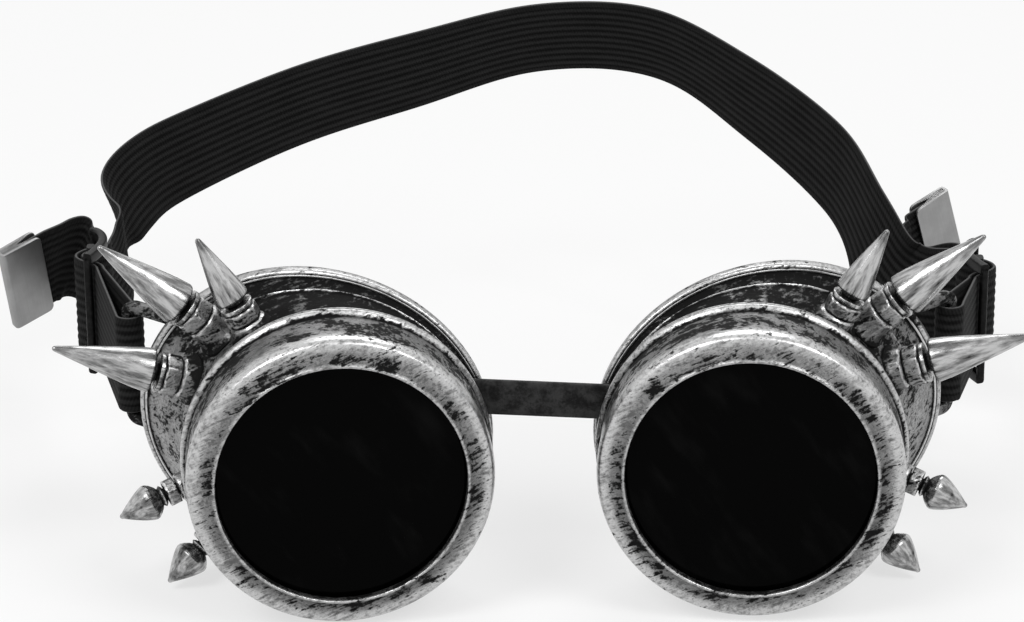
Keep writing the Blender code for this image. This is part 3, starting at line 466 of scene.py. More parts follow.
# Rows of inset from the rim's edge, place before its back face, and blackening, which below zero, on
# the rim's bead, is a painted highlight
rimOutline = ((1.45, 3.0, 0.85), (1.25, 3.3, -0.4), (1.0, 3.3, -0.3), (0.85, 3.0, 0.9),
              (0.7, 3.15, 0.2), (0.25, 3.0, 0.05), (0.0, 2.5, 0.1), (0.0, 0.9, 0.3),
              (0.15, 0.35, 0.1), (0.8, 0.0, 0.25), (2.1, 0.0, 0.35), (2.6, 0.2, 0.3), (2.9, 0.8, 0.5))


def rimPlace(out):
    # The rim's back face leans: rim depth + (out - shift) tan of its slope
    return cup["rimDepth"] + (out - cup["shift"]) * math.tan(math.radians(cup["rimSlope"]))


def shellSize(share):
    # Half width, half height and centre of the shell's ellipse: from the round neck to the rim it
    # swells as share to the flare's power, and its waist is drawn in by a half sine
    swell = share ** cup["flare"]
    waist = cup["waist"] * np.sin(math.pi * share)
    halfWidth, halfHeight = (
        cup["neck"] + (cup[half] - cup["ledge"] / 2 - cup["neck"]) * swell - waist
        for half in ("halfWidth", "halfHeight"))
    return halfWidth, halfHeight, cup["shift"] * swell


def shellSpan(out):
    # Where the shell starts, and its length from there to the leaning rim
    start = cup["shoulderPlace"] + cup["shoulderWidth"]
    return start, rimPlace(out) - cup["rimThickness"] - start


def shellRows(shares, inset, turns):
    # Points of the shell at each share and turn: an ellipse that leans as the rim does
    shares = shares[:, None]
    halfWidth, halfHeight, centre = shellSize(shares)
    out = centre + (halfWidth - inset) * np.cos(turns)
    up = (halfHeight - inset) * np.sin(turns)
    start, length = shellSpan(out)
    return pointsOf(out, start + shares * length, up)


def cupCollar(turns, side):
    # The thread's radius follows cos(2 pi place / pitch - turn), so that its crest climbs as it
    # goes round, and a round shoulder closes it
    inner, outer, front = cup["collarInner"], cup["collarOuter"], cup["collarFront"]
    radius, place = cup["shoulderRadius"], cup["shoulderPlace"]
    places = np.linspace(cup["threadFront"], bezel["depth"], cup["threadRows"])[:, None]
    phase = 2 * math.pi * places / cup["threadPitch"] - turns * side
    crest = outer - cup["threadHeight"] * (1 - np.cos(phase))
    lip = np.array([(inner, front), (outer - 0.5, front), (outer - 0.25, front + 0.3)])
    shoulder = np.array([(outer - 0.2, place), (radius - 0.3, place), (radius, place + 0.2),
                         (radius, place + cup["shoulderWidth"])])
    return [carriedRound(*rows, turns)
            for rows in (lip.T[..., None], (crest, places), shoulder.T[..., None])]


def cupSkin(side):
    # Rows of rings from the collar's lip over the outside to the rim, and back through the inside
    turns = turnsRound(cup["steps"])
    lip, thread, shoulder = cupCollar(turns, side)
    shares = np.sort(np.concatenate([
        np.linspace(0.0, cup["bodyEnd"], cup["bodyRows"]),
        ridge["share"] + np.linspace(-ridge["span"], ridge["span"], ridge["rows"])]))
    body = shellRows(shares, 0.0, turns)
    # The unevenness is the mean of its waves, strongest halfway back and at its own turn
    wave = sum(np.sin(count * turns + slope * body[..., 1] + start)
               for count, slope, start in lumps["waves"])
    fade = (np.sin(math.pi * shares / cup["bodyEnd"])[:, None]
            * np.clip(np.cos(turns - lumps["turn"]), 0.0, 1.0))
    # The ridge is a bell across, and fades away from its own turn, where the bosses are
    line = (np.exp(-((shares - ridge["share"]) / ridge["width"]) ** 2)[:, None]
            * np.clip(ridge["fade"][0] * np.cos(turns - ridge["turn"]) + ridge["fade"][1], 0.0, 1.0))
    lift = lumps["height"] * wave / len(lumps["waves"]) * fade + ridge["height"] * line
    body[..., 0] += lift * np.cos(turns)
    body[..., 2] += lift * np.sin(turns)
    rim = softCorners(rimOutline, 0.2, steps=3, closed=False)
    inset, forward, rimBlackeningAndHighlight = rim.T[..., None]
    out = cup["shift"] + (cup["halfWidth"] - inset) * np.cos(turns)
    up = np.maximum((cup["halfHeight"] - inset) * np.sin(turns), -stance["lensHeight"])
    rimRows = pointsOf(out, rimPlace(out) - forward, up)
    inside = shellRows(np.linspace(cup["bodyEnd"], 0.0, cup["insideRows"]), cup["wall"], turns)
    closing = carriedRound(cup["collarInner"], cup["shoulderPlace"], turns)[None]
    temple = np.clip(np.cos(turns - blackening["templeTurn"]), 0.0, 1.0) ** blackening["templePower"]
    nose = np.clip(np.cos(turns - blackening["noseTurn"]), 0.0, 1.0)
    channel = blackening["channel"] + blackening["nose"] * nose - blackening["temple"] * temple
    parts = ((lip, blackening["collar"]), (thread, blackening["thread"]),
             (shoulder, blackening["shoulder"]), (body, channel * (1.0 - blackening["ridge"] * line)),
             (rimRows, rimBlackeningAndHighlight), (inside, blackening["inside"]), (closing, blackening["shoulder"]))
    grid = np.vstack([rows for rows, recess in parts])
    recess = np.vstack([np.broadcast_to(recess, rows.shape[:2]) for rows, recess in parts])
    return closedSkin(onCup(side, *np.moveaxis(grid, -1, 0)), ringed=True, recess=recess)


# Studs: place round the lens axis, where it points, its tilt to the front, and how far its foot
# lies behind the bezel and over the neck
studs = {
    "top": dict(kind="medium", place=57.0, point=63.0, tilt=0.0, behind=9.2, rise=7.2),
    "upper": dict(kind="long", place=42.5, point=41.0, tilt=4.0, behind=13.8, rise=12.0),
    "side": dict(kind="long", place=20.5, point=18.5, tilt=5.0, behind=13.6, rise=10.0),
    "lower": dict(kind="short", place=-19.0, point=-20.5, tilt=14.0, behind=8.7, rise=9.2),
    "bottom": dict(kind="short", place=-40.5, point=-41.0, tilt=18.0, behind=8.1, rise=8.6),
}
kinds = {
    "medium": dict(length=14.0, radius=3.3, neckLength=0.8, collar=3.3, flats=6.4, nut=2.6, boss=3.2),
    "long": dict(length=19.6, radius=4.3, neckLength=0.8, collar=3.9, flats=7.2, nut=3.0, boss=3.7),
    "short": dict(length=8.4, radius=3.6, neckLength=1.2, collar=None, flats=5.2, nut=2.2, boss=2.7),
}
fitGap, shankRadius, holeRadius, tipRadius, neckRadius = 0.3, 1.3, 1.7, 0.55, 2.0
collarThickness, shankReach, studSteps = 0.9, 1.4, 72


def onStud(side, stud, own):
    # From a stud's own frame, whose second axis points out along it from the spike's foot, to the
    # world: foot + own x axes
    reach = cup["neck"] + stud["rise"]
    place, point, tilt = (math.radians(stud[key]) for key in ("place", "point", "tilt"))
    foot = onCup(side, reach * math.cos(place), bezel["depth"] + stud["behind"],
                 reach * math.sin(place))
    turn = Matrix.Rotation(math.radians(-side * stance["toeIn"]), 3, "Z")
    direction = turn @ Vector((side * math.cos(point) * math.cos(tilt), -math.sin(tilt),
                               math.sin(point) * math.cos(tilt)))
    axes = Vector((0.0, 1.0, 0.0)).rotation_difference(direction.normalized()).to_matrix()
    return foot + own @ np.array(axes).T


def studLevels(kind):
    # Levels under the spike's foot: neck, collar, nut top, nut foot, boss top
    collar = collarThickness + fitGap if kind["collar"] else 0.0
    neckLow = -kind["neckLength"]
    nutHigh = neckLow - collar - fitGap
    return neckLow, neckLow - collar, nutHigh, nutHigh - kind["nut"], nutHigh - kind["nut"] - fitGap


def turnedOnStud(side, stud, profile, ringed):
    # Rows of (radius, height, recess) carried round the stud's own axis
    radius, height, recess = profile.T[..., None]
    own = carriedRound(radius, height, turnsRound(studSteps))
    return closedSkin(onStud(side, stud, own), ringed, recess, own)


boss = dict(rows=12, root=1.2, fillet=1.3, fade=0.9, probe=14.0, probeRows=141, bevel=0.35,
            grading=1.4, recess=(0.38, 0.60), topRecess=0.05)


def bossSkin(side, stud, kind):
    # A post: from each point of its ring a line down the stud's axis is followed to where it meets
    # the shell's ellipse, and there its wall spreads as fillet exp(-height / fade)
    turns = turnsRound(studSteps)
    top = studLevels(kind)[4]
    drop = np.linspace(top, top - boss["probe"], boss["probeRows"])[:, None]
    probe = onStud(side, stud, carriedRound(kind["boss"], drop, turns))
    world = probe + np.array([stance["middleX"], stance["middleY"], -stance["lensHeight"]])
    turn = math.radians(side * stance["toeIn"])
    x, y = world[..., 0] - side * stance["lensSpacing"] / 2, world[..., 1]
    out = side * (x * math.cos(turn) - y * math.sin(turn))
    back = x * math.sin(turn) + y * math.cos(turn)
    start, length = shellSpan(out)
    halfWidth, halfHeight, centre = shellSize(np.clip((back - start) / length, 0.0, 1.0))
    inside = ((out - centre) / halfWidth) ** 2 + (world[..., 2] / halfHeight) ** 2 <= 1.0
    met = drop[np.argmax(inside, axis=0), 0]
    climb = np.linspace(0.0, 1.0, boss["rows"])[:, None] ** boss["grading"]
    height = np.vstack([(met - boss["root"])[None, :], met + (top - boss["bevel"] - met) * climb,
                        np.full((1, studSteps), top)])
    spread = np.exp(-np.maximum(height - met, 0.0) / boss["fade"])
    radius = kind["boss"] + boss["fillet"] * spread
    radius[-1] -= boss["bevel"]
    own = carriedRound(radius, height, turns)
    recess = boss["recess"][0] + boss["recess"][1] * spread
    recess[-2:] = boss["topRecess"]
    return closedSkin(onStud(side, stud, own), recess=recess, own=own)


# Strap lug: where its arms leave the rim, where its bar stands, and its section
lug = dict(bar=2.4, rootOut=69.4, rootBack=39.3, barOut=80.6, barBack=48.6, height=36.0, half=11.8,
           bend=2.0, recess=0.55)


def sweptBar(path, width, depth, side, lean, columns=20, power=0.5):
    # A bar of rounded square section, cos and sin to a power below one, along a path in one plane
    lean = np.asarray(lean, dtype=float) / np.linalg.norm(lean)
    across = unitRows(np.cross(unitRows(np.gradient(path, axis=0)), lean))
    turns = turnsRound(columns)
    a = powered(np.cos(turns), power) * width / 2
    b = powered(np.sin(turns), power) * depth / 2
    grid = path[:, None] + across[:, None] * a[None, :, None] + lean[None, None] * b[None, :, None]
    return grid * np.array([side, 1.0, 1.0])


def lugSkin(side):
    # A bar out from the rim, down at its bend and back, with soft corners
    high, low = lug["height"] + lug["half"], lug["height"] - lug["half"]
    corners = [(lug["rootOut"], lug["rootBack"], high), (lug["barOut"], lug["barBack"], high),
               (lug["barOut"], lug["barBack"], low), (lug["rootOut"], lug["rootBack"], low)]
    path = softCorners(corners, lug["bend"], steps=9, closed=False)
    keep = np.concatenate([[True], np.linalg.norm(np.diff(path, axis=0), axis=1) > 1e-6])
    lean = (lug["barBack"] - lug["rootBack"], -(lug["barOut"] - lug["rootOut"]), 0.0)
    grid = inWorld(sweptBar(path[keep], lug["bar"], lug["bar"], side, lean))
    return closedSkin(grid, recess=lug["recess"])


for side, name in sides.items():
    skins = [cupSkin(side), lugSkin(side)]
    skins += [bossSkin(side, stud, kinds[stud["kind"]]) for stud in studs.values()]
    makePiece(name + "CupShell", skins, "aged silver", "frame", name + "_cup")

print("cups made")


# Spikes, collars and nuts

# The cone's rows as shares of its length, and the tip's as a share of its radius and a depth
coneShares = (0.12, 0.25, 0.38, 0.5, 0.62, 0.74, 0.84, 0.93)
tipRows = ((1.04, 0.5775), (0.8, 0.22), (0.5, 0.08), (0.15, 0.0))


def spikeProfile(kind, shankLow):
    # Rows of (radius, height, blackening): shank, neck, rounded foot edge, cone and round tip; a
    # short one has a shouldered foot over a ringed neck
    length, radius = kind["length"], kind["radius"]
    neckLow = studLevels(kind)[0]
    rows = [(0.05, shankLow, 0.8), (shankRadius, shankLow, 0.8), (shankRadius, neckLow, 0.9)]
    if kind["collar"]:
        rows += [(neckRadius, neckLow, 0.8), (neckRadius, 0.0, 0.9), (radius - 0.15, 0.0, 0.7),
                 (radius, 0.4, 0.3), (radius * 0.985, 1.0, 0.14)]
    else:
        rows += [(neckRadius * 0.8, neckLow, 0.8), (neckRadius * 1.1, neckLow * 0.6, 0.2),
                 (neckRadius * 0.85, neckLow * 0.15, 0.9), (neckRadius * 1.1, 0.1, 0.7),
                 (radius * 0.82, 0.8, 0.35), (radius * 0.97, 1.5, 0.1), (radius, 2.1, 0.0)]
    # Over the length above its widest place the cone falls as 1 - share to the bulge's power
    bulge, wide = (1.10, 1.0) if kind["collar"] else (1.30, 2.1)
    rows += [(tipRadius + (radius - tipRadius) * (1 - share ** bulge),
              wide + (length - tipRadius - wide) * share, 0.0) for share in coneShares]
    rows += [(tipRadius * share, length - depth, 0.0) for share, depth in tipRows]
    return softCorners(rows, 0.14, steps=3, closed=False)


# How hard a nut's six corners are limited, and to what share of its flats
nutCorner = dict(hardness=9.0, limit=1.13, steps=120)


def nutSkin(side, stud, kind):
    # Six flats: radius = half the flats / cos(turn within its sixth), softly limited by a log of a
    # sum of powers of e, and held under a circle at the broken edges
    high, low = studLevels(kind)[2:4]
    half, hardness = kind["flats"] / 2, nutCorner["hardness"]
    turns = turnsRound(nutCorner["steps"])
    flats = half / np.cos(np.mod(turns, math.pi / 3) - math.pi / 6)
    flats = -np.log(np.exp(-flats * hardness)
                    + np.exp(-half * nutCorner["limit"] * hardness)) / hardness
    # Rows of the circle's limit, height, whether the flats shape it, and blackening
    rows = np.array([
        (holeRadius, low, 0.0, 0.9), (1.03, low, 1.0, 0.8), (1.12, low + 0.3, 1.0, 0.4),
        (1.2, low + 0.45, 1.0, 0.36), (1.2, high - 0.5, 1.0, 0.30), (1.09, high - 0.22, 1.0, 0.0),
        (1.0, high - 0.04, 1.0, 0.0), (0.97, high, 1.0, 0.1), (holeRadius, high, 0.0, 0.9)])
    limit, height, shaped, recess = rows.T[..., None]
    radius = np.where(shaped > 0, np.minimum(flats, limit * half), limit)
    own = carriedRound(radius, height, turns)
    return closedSkin(onStud(side, stud, own), True, recess, own)


def collarProfile(kind):
    # A flat ring whose outer edges are broken
    neckLow, low = studLevels(kind)[:2]
    high, reach = neckLow - fitGap, kind["collar"]
    rows = [(holeRadius, low, 0.8), (reach, low, 0.2), (reach, high, 0.0), (holeRadius, high, 0.9)]
    return softCorners(rows, (0.1, 0.25, 0.25, 0.1), measured=2)


for side, name in sides.items():
    for studName, stud in studs.items():
        kind = kinds[stud["kind"]]
        label, node = name + studName.capitalize(), name + "_" + studName
        shank = studLevels(kind)[3] - shankReach
        makePiece(label + "Spike", [turnedOnStud(side, stud, spikeProfile(kind, shank), False)],
                  "polished silver", "frame", node + "_spike")
        makePiece(label + "Nut", [nutSkin(side, stud, kind)], "aged silver", "frame", node + "_nut",
                  sharpAngle=30.0)
        if kind["collar"]:
            makePiece(label + "Collar", [turnedOnStud(side, stud, collarProfile(kind), True)],
                      "polished silver", "frame", node + "_collar")

print("studs made")


# Bridge strip: straight, a little lower on the right, with a thick head inside each cup

bridge = dict(height=7.0, thickness=1.2, level=37.8, back=22.3, reach=18.6, sag=1.1, rows=75,
              columns=48, powers=(0.22, 0.35), headHeight=9.6, headThickness=2.6, bevel=0.25,
              headRows=(2.2, 1.9, 0.9, 0.3, 0.0))


def bridgeSkin():
    # Its section is a rounded oblong, cos and sin to powers below one, and its level falls as x
    head = bridge["reach"] + np.array(bridge["headRows"])
    blend = bridge["headRows"][-2]
    straight = bridge["reach"] - blend
    x = np.concatenate([-head, np.linspace(-straight, straight, bridge["rows"]), head[::-1]])
    isHead = np.clip((np.abs(x) - bridge["reach"]) / blend, 0.0, 1.0)
    isEnd = np.where(np.abs(x) > head[0] - 0.1, bridge["bevel"], 0.0)
    height = bridge["height"] + (bridge["headHeight"] - bridge["height"]) * isHead - isEnd
    thick = bridge["thickness"] + (bridge["headThickness"] - bridge["thickness"]) * isHead - isEnd
    turns = turnsRound(bridge["columns"])
    across = powered(np.sin(turns), bridge["powers"][0]) * height[:, None] / 2
    through = powered(np.cos(turns), bridge["powers"][1]) * thick[:, None] / 2
    level = bridge["level"] - bridge["sag"] * x[:, None] / bridge["reach"]
    return closedSkin(inWorld(pointsOf(x[:, None], bridge["back"] + through, level + across)))


makePiece("bridgeStrip", [bridgeSkin()], "black strip", "frame", "bridge_strip", sharpAngle=50.0)


# Strap, sliders and clamps

# The elastic swells from its core at each rib. A selvedge is a share of the half width, and rib is
# painted past one on the outermost threads, only so that the finish paints a highlight along the edges
strap = dict(width=20.0, thickness=1.0, ribs=10, core=0.70, swell=0.28, selvedge=0.14,
             selvedgeRib=0.55, edgeHighlightRib=2.0, edgePower=40, edgeLeast=0.05, columns=81, step=0.8,
             softness=2.4, endStep=0.35, endSoftness=0.5, loopRows=25)
slider = dict(length=17.0, front=70.0, out=90.5, thickness=1.6, endBar=2.4, sideBar=2.2, centreBar=2.6,
              halfOpening=10.6, bow=2.34, bowReach=1.02, bowSkew=1.35, bowPower=0.7, endInset=0.7,
              endWidth=1.9, gap=0.5, levels={-1: 37.3, 1: 32.6}, barRows=40, endRows=60, weaveRows=61)
slider["rear"] = slider["front"] + slider["length"]
band = dict(halfWidth=90.0, depth=68.0, rise=30.0, level=37.3, settle=16.0)
# Shares of the half width, depth and rise, and the band's lean
bandRoute = ((-0.956, 0.060, 0.03, -1.0), (-0.942, 0.100, 0.09, -4.0), (-0.950, 0.155, 0.21, -9.0),
             (-0.966, 0.225, 0.34, -14.0), (-0.920, 0.350, 0.46, -8.0), (-0.830, 0.480, 0.55, 3.0),
             (-0.555, 0.725, 0.74, 11.0), (-0.275, 0.885, 0.88, 16.0), (0.025, 0.992, 1.04, 25.0),
             (0.310, 0.960, 1.01, 23.0), (0.530, 0.745, 0.74, 8.0), (0.715, 0.460, 0.42, -3.0),
             (0.785, 0.220, 0.13, -10.0), (0.825, 0.130, -0.11, -10.0), (0.890, 0.080, -0.20, -5.0),
             (0.950, 0.055, -0.19, -1.0))
# Shares of the tail's reach outwards, back and up from the slider, and its lean
tailRoute = {
    -1: ((0.02, 0.10, 0.00, 0.0), (0.11, 0.24, 0.03, -2.0), (0.20, 0.36, 0.08, -6.0),
         (0.33, 0.42, 0.14, -12.0), (0.45, 0.32, 0.17, -15.0), (0.54, 0.20, 0.17, -17.0),
         (0.87, -0.03, 0.05, -17.0)),
    1: ((0.00, 0.10, 0.00, 0.0), (-0.04, 0.23, -0.02, 0.0), (-0.21, 0.42, -0.12, -3.0),
        (-0.39, 0.64, -0.12, -9.0), (-0.46, 0.88, 0.00, -10.0), (-0.41, 1.05, 0.07, 3.0),
        (-0.15, 1.20, 0.18, 5.0)),
}
tail = dict(reach=20.0, grip=11.0, gripRows=(0.1, 0.55, 1.0))
clamp = dict(length=9.2, sheet=0.5, width=20.8, flare=0.1, corner=1.3, endShare=0.97,
             cuts=(0.9, 0.9, 0.15, 0.15, 0.5, 0.5, 0.15, 0.15), edgeColumns=(0.86, 0.99, 7),
             middleColumns=(-0.8, 0.8, 9))


def alongRun(points):
    # The direction of travel at each row, and how far it lies along the route
    legs = np.linalg.norm(np.diff(points, axis=0), axis=1)
    return unitRows(np.gradient(points, axis=0)), np.concatenate([[0.0], np.cumsum(legs)])


def curveThrough(points, perSpan):
    # Catmull-Rom: between b and c, half of 2b + (c-a)t + (2a-5b+4c-d)t^2 + (3b-a-3c+d)t^3
    rows = np.array(points, dtype=float)
    padded = np.vstack([2 * rows[0] - rows[1], rows, 2 * rows[-1] - rows[-2]])
    a, b, c, d = (padded[k:len(padded) - 3 + k][:, None] for k in range(4))
    t = np.linspace(0.0, 1.0, perSpan, endpoint=False)[None, :, None]
    curve = 0.5 * (2 * b + (c - a) * t + (2 * a - 5 * b + 4 * c - d) * t ** 2
                   + (3 * b - a - 3 * c + d) * t ** 3)
    return np.vstack([curve.reshape(-1, rows.shape[1]), rows[-1:]])


def evenRoute(route, step, softness):
    # Rows at even steps of travel, then averaged with a bell of the softness; the ends stay
    travel = alongRun(route[:, :3])[1]
    stops = np.linspace(0.0, travel[-1], int(round(travel[-1] / step)) + 1)
    even = np.stack([np.interp(stops, travel, column) for column in route.T], axis=1)
    reach = int(3 * softness / step)
    bell = np.exp(-0.5 * (np.arange(-reach, reach + 1) * step / softness) ** 2)
    padded = np.vstack([2 * even[0] - even[reach:0:-1], even, 2 * even[-1] - even[-2:-2 - reach:-1]])
    return np.stack([np.convolve(column, bell / bell.sum(), mode="valid") for column in padded.T],
                    axis=1)


def bandDirections(route, settle):
    # Run, across and outward at each row: the band stands on edge and leans about its own run, and
    # within the settle length of an end it stays upright however steeply it climbs
    run, travel = alongRun(route[:, :3])
    fromEnd = np.minimum(travel, travel[-1] - travel)
    tiltShare = np.clip(fromEnd / settle, 0.0, 1.0)[:, None] if settle else 1.0
    upright = unitRows(np.array([0.0, 0.0, 1.0]) - run * run[:, 2:3] * tiltShare)
    lean = np.radians(route[:, 3])[:, None]
    across = np.cos(lean) * upright + np.sin(lean) * np.cross(run, upright)
    return run, across, np.cross(run, across), travel


def ribbedBand(route, first, last, settle):
    # The section is a flat loop: its thickness over s from edge to edge is the core and the swell of
    # a raised cosine with one crest for each rib, thinned by the root of 1 - s^power. Only the rows
    # from first to last become a skin, but the whole route says how they stand
    run, across, outward, travel = bandDirections(route, settle)
    route, across, outward, travel = (part[first:last + 1]
                                      for part in (route, across, outward, travel))
    s = np.linspace(-1.0, 1.0, strap["columns"])
    inner = 1.0 - strap["selvedge"]
    crests = 0.5 - 0.5 * np.cos(math.pi * strap["ribs"] * (s / inner + 1.0))
    rib = np.where(np.abs(s) < inner, crests, strap["selvedgeRib"])
    thick = strap["thickness"] * (strap["core"] + strap["swell"] * rib) / 2
    thick *= np.sqrt(np.clip(1.0 - np.abs(s) ** strap["edgePower"], strap["edgeLeast"], 1.0))
    # Past one only for the painted highlight along both edges; the thickness is already set
    rib[[0, -1]] = strap["edgeHighlightRib"]
    s, thick, rib = (np.concatenate([a, b[::-1]]) for a, b in ((s, s), (thick, -thick), (rib, rib)))
    width = s * strap["width"] / 2
    grid = (route[:, None, :3] + across[:, None] * width[:, None]
            + outward[:, None] * thick[:, None])
    return closedSkin(inWorld(grid), own=pointsOf(travel[:, None], width, thick), rib=rib)


def weaveLayer(side, sign):
    # One layer through the slider, rear bar to front bar: it swings by a cosine over one slider
    # length, inside the end bars and outside the centre bar, half a layer off the middle
    reach = slider["thickness"] / 2 + slider["gap"] + strap["thickness"] + fitGap / 2
    rear, front = slider["rear"] - slider["sideBar"] / 2, slider["front"] + slider["sideBar"] / 2
    back = np.linspace(rear, front, slider["weaveRows"])
    phase = 2 * math.pi * (back - front) / (slider["length"] - slider["sideBar"])
    middle = np.stack([slider["out"] - reach * np.cos(phase), back], axis=1)
    run = alongRun(middle)[0]
    aside = np.stack([-run[:, 1], run[:, 0]], axis=1)
    layer = middle + aside * sign * (strap["thickness"] + fitGap) / 2
    return pointsOf(side * layer[:, 0], layer[:, 1], slider["levels"][side], 0.0)


def strapEndRoute(side):
    # In through the slider, half a turn round the lug's bar, back out, and along the tail's curve;
    # the last rows run straight on into the clamp
    level = slider["levels"][side]
    inner, outer = weaveLayer(side, -1), weaveLayer(side, 1)[::-1]
    radius = lug["bar"] / math.sqrt(2.0) + fitGap + strap["thickness"] / 2
    bar = np.array([lug["barOut"], lug["barBack"]])
    run = np.array([slider["out"], slider["front"]]) - bar
    run /= np.linalg.norm(run)
    out = np.array([run[1], -run[0]])
    turns = np.linspace(0.0, math.pi, strap["loopRows"])[:, None]
    loop = bar - out * radius * np.cos(turns) - run * radius * np.sin(turns)
    loop = pointsOf(side * loop[:, 0], loop[:, 1], lug["height"], 0.0)
    entry = np.array([[inner[0, 0], slider["rear"] + 2 * fitGap, level, 0.0]])
    leave = np.array([outer[-1, 0], slider["rear"], level, 0.0])
    reach = tail["reach"]
    rows = leave + np.array(tailRoute[side]) * (side * reach, reach, reach, 1.0)
    aim = (rows[-1] - rows[-2]) / np.linalg.norm((rows[-1] - rows[-2])[:3])
    grip = rows[-2] + aim * tail["grip"] * np.array(tail["gripRows"])[:, None]
    grip[:, 3] = rows[-1, 3]
    curve = curveThrough(np.vstack([leave, rows[:-1]]), perSpan=16)
    return np.vstack([entry, inner, loop, outer, curve, grip])


def clampSkin(end, run, across):
    # A folded sheet: a U with a rounded fold, drawn across the strap, its open corners rounded as
    # corner - sqrt(corner^2 - (corner - distance from the edge)^2)
    normal = np.cross(run, across)
    slot = strap["thickness"] / 2 + fitGap
    length, sheet, flare, corner = (clamp[key] for key in ("length", "sheet", "flare", "corner"))
    skin = slot + sheet
    tip = end + run * (fitGap + sheet)
    outline = softCorners([(0.0, -skin), (0.0, skin), (-length, skin + flare), (-length, slot + flare),
                           (-sheet, slot), (-sheet, -slot), (-length, -slot - flare),
                           (-length, -skin - flare)], clamp["cuts"])
    edge, middle = (np.linspace(*clamp[key]) for key in ("edgeColumns", "middleColumns"))
    s = np.concatenate([[-1.0], -edge[::-1], middle, edge, [1.0]])
    fromEdge = np.clip((1.0 - np.abs(s)) * clamp["width"] / 2, 0.0, corner)
    cut = corner - np.sqrt(np.clip(corner ** 2 - (corner - fromEdge) ** 2, 0.0, None))
    share = np.clip(-outline[:, 0] / length, 0.0, 1.0)
    along = outline[None, :, 0] + cut[:, None] * share[None, :] ** 4
    off = outline[None, :, 1] * np.where(np.abs(s) == 1.0, clamp["endShare"], 1.0)[:, None]
    width = (s * clamp["width"] / 2)[:, None]
    grid = tip + run * along[..., None] + normal * off[..., None] + across * width[..., None]
    return closedSkin(inWorld(grid), own=pointsOf(along, width, off))


def sliderSkins(side):
    # Three upright bars and two end bars that bow towards the head by a half sine to a power
    level, half = slider["levels"][side], slider["halfOpening"] + slider["endBar"] / 2
    upright = level + half * np.linspace(-1.0, 1.0, slider["barRows"])
    skins = []
    for back, width in ((slider["front"] + slider["sideBar"] / 2, slider["sideBar"]),
                        (slider["front"] + slider["length"] / 2, slider["centreBar"]),
                        (slider["rear"] - slider["sideBar"] / 2, slider["sideBar"])):
        path = pointsOf(slider["out"], back, upright)
        bar = sweptBar(path, width, slider["thickness"], side, (1.0, 0.0, 0.0), columns=24,
                       power=0.55)
        skins.append(closedSkin(inWorld(bar)))
    share = np.linspace(0.0, 1.0, slider["endRows"])
    back = slider["front"] + slider["endInset"] + share * (slider["length"] - 2 * slider["endInset"])
    phase = math.pi * np.clip(share * slider["bowReach"], 0.0, 1.0) ** slider["bowSkew"]
    out = slider["out"] - slider["bow"] * np.sin(phase) ** slider["bowPower"]
    for end in (-1, 1):
        path = pointsOf(out, back, level + end * half)
        bar = sweptBar(path, slider["endWidth"], slider["endBar"], side, (0.0, 0.0, 1.0), columns=28)
        skins.append(closedSkin(inWorld(bar)))
    return skins


def makeStrap(label, route, first, last, settle, node, held, rests):
    # One section of the elastic, as long as its rows of the route
    skin = ribbedBand(route, first, last, settle)
    piece = makePiece(label, [skin], "black elastic", None, node, sharpAngle=60.0)
    length = float(alongRun(route[first:last + 1, :3])[1][-1])
    print(label, round(length), "mm long")
    return piece


def stretchOf(piece, bodies, axis, start, end):
    # Finds where a stretch from start to end along x (0) or y (1) would lie, and only bakes the
    # piece's transform; the elastic is not made to give way. bodies is not used
    ends = np.zeros((2, 3))
    ends[:, axis] = start, end
    startPlace, endPlace = (tuple(place) for place in inWorld(ends) * mm)
    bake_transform(piece)


# Where the elastic from the lug to the slider, and what lies behind it, would give way. Each has its
# axis, x or y, and where on it the stretch starts and ends
giveWay = dict(strapEnd=(1, 52.0, 69.0), leftTail=(0, -93.0, -102.0), rightTail=(1, 88.5, 104.0),
               band=(1, 88.5, 104.0))

for side, name in sides.items():
    route = evenRoute(strapEndRoute(side), strap["endStep"], strap["endSoftness"])
    sliderBody, sliderNode = name + "_strap_slider", name + "_slider"
    # The tail starts where the outer layer leaves the slider's rear bar, past a third of the route
    third = len(route) // 3
    leave = third + int(np.argmax(route[third:, 1] > slider["rear"] - fitGap))
    piece = makeStrap(name + "StrapEnd", route, 0, leave, 0.0, name + "_strap_end", "folded",
                      sliderNode)
    stretchOf(piece, ("frame", sliderBody), *giveWay["strapEnd"])
    piece = makeStrap(name + "StrapTail", route, leave, len(route) - 1, 0.0, name + "_strap_end",
                      "laid", sliderNode)
    stretchOf(piece, (sliderBody, "frame"), *giveWay[name + "Tail"])
    run, across = bandDirections(route, 0.0)[:2]
    makePiece(name + "TailClamp", [clampSkin(route[-1, :3], run[-1], across[-1])], "satin steel",
              "frame", name + "_tail_clamp", sharpAngle=50.0)
    makePiece(name + "Slider", sliderSkins(side), "black plastic", sliderBody, sliderNode,
              sharpAngle=60.0)


def bandEntry(side):
    # The band's two rows straight out of the slider, where its inner layer comes in
    out, level = weaveLayer(side, -1)[0, [0, 2]]
    rear = slider["rear"] + 2 * fitGap
    return np.array([(out, rear, level, 0.0), (out, rear + strap["thickness"], level, 0.0)])


middleRows = (np.array(bandRoute) * (band["halfWidth"], band["depth"], band["rise"], 1.0)
              + (0.0, slider["rear"], band["level"], 0.0))
wholeBand = curveThrough(np.vstack([bandEntry(-1), middleRows, bandEntry(1)[::-1]]), perSpan=24)
route = evenRoute(wholeBand, strap["step"], strap["softness"])
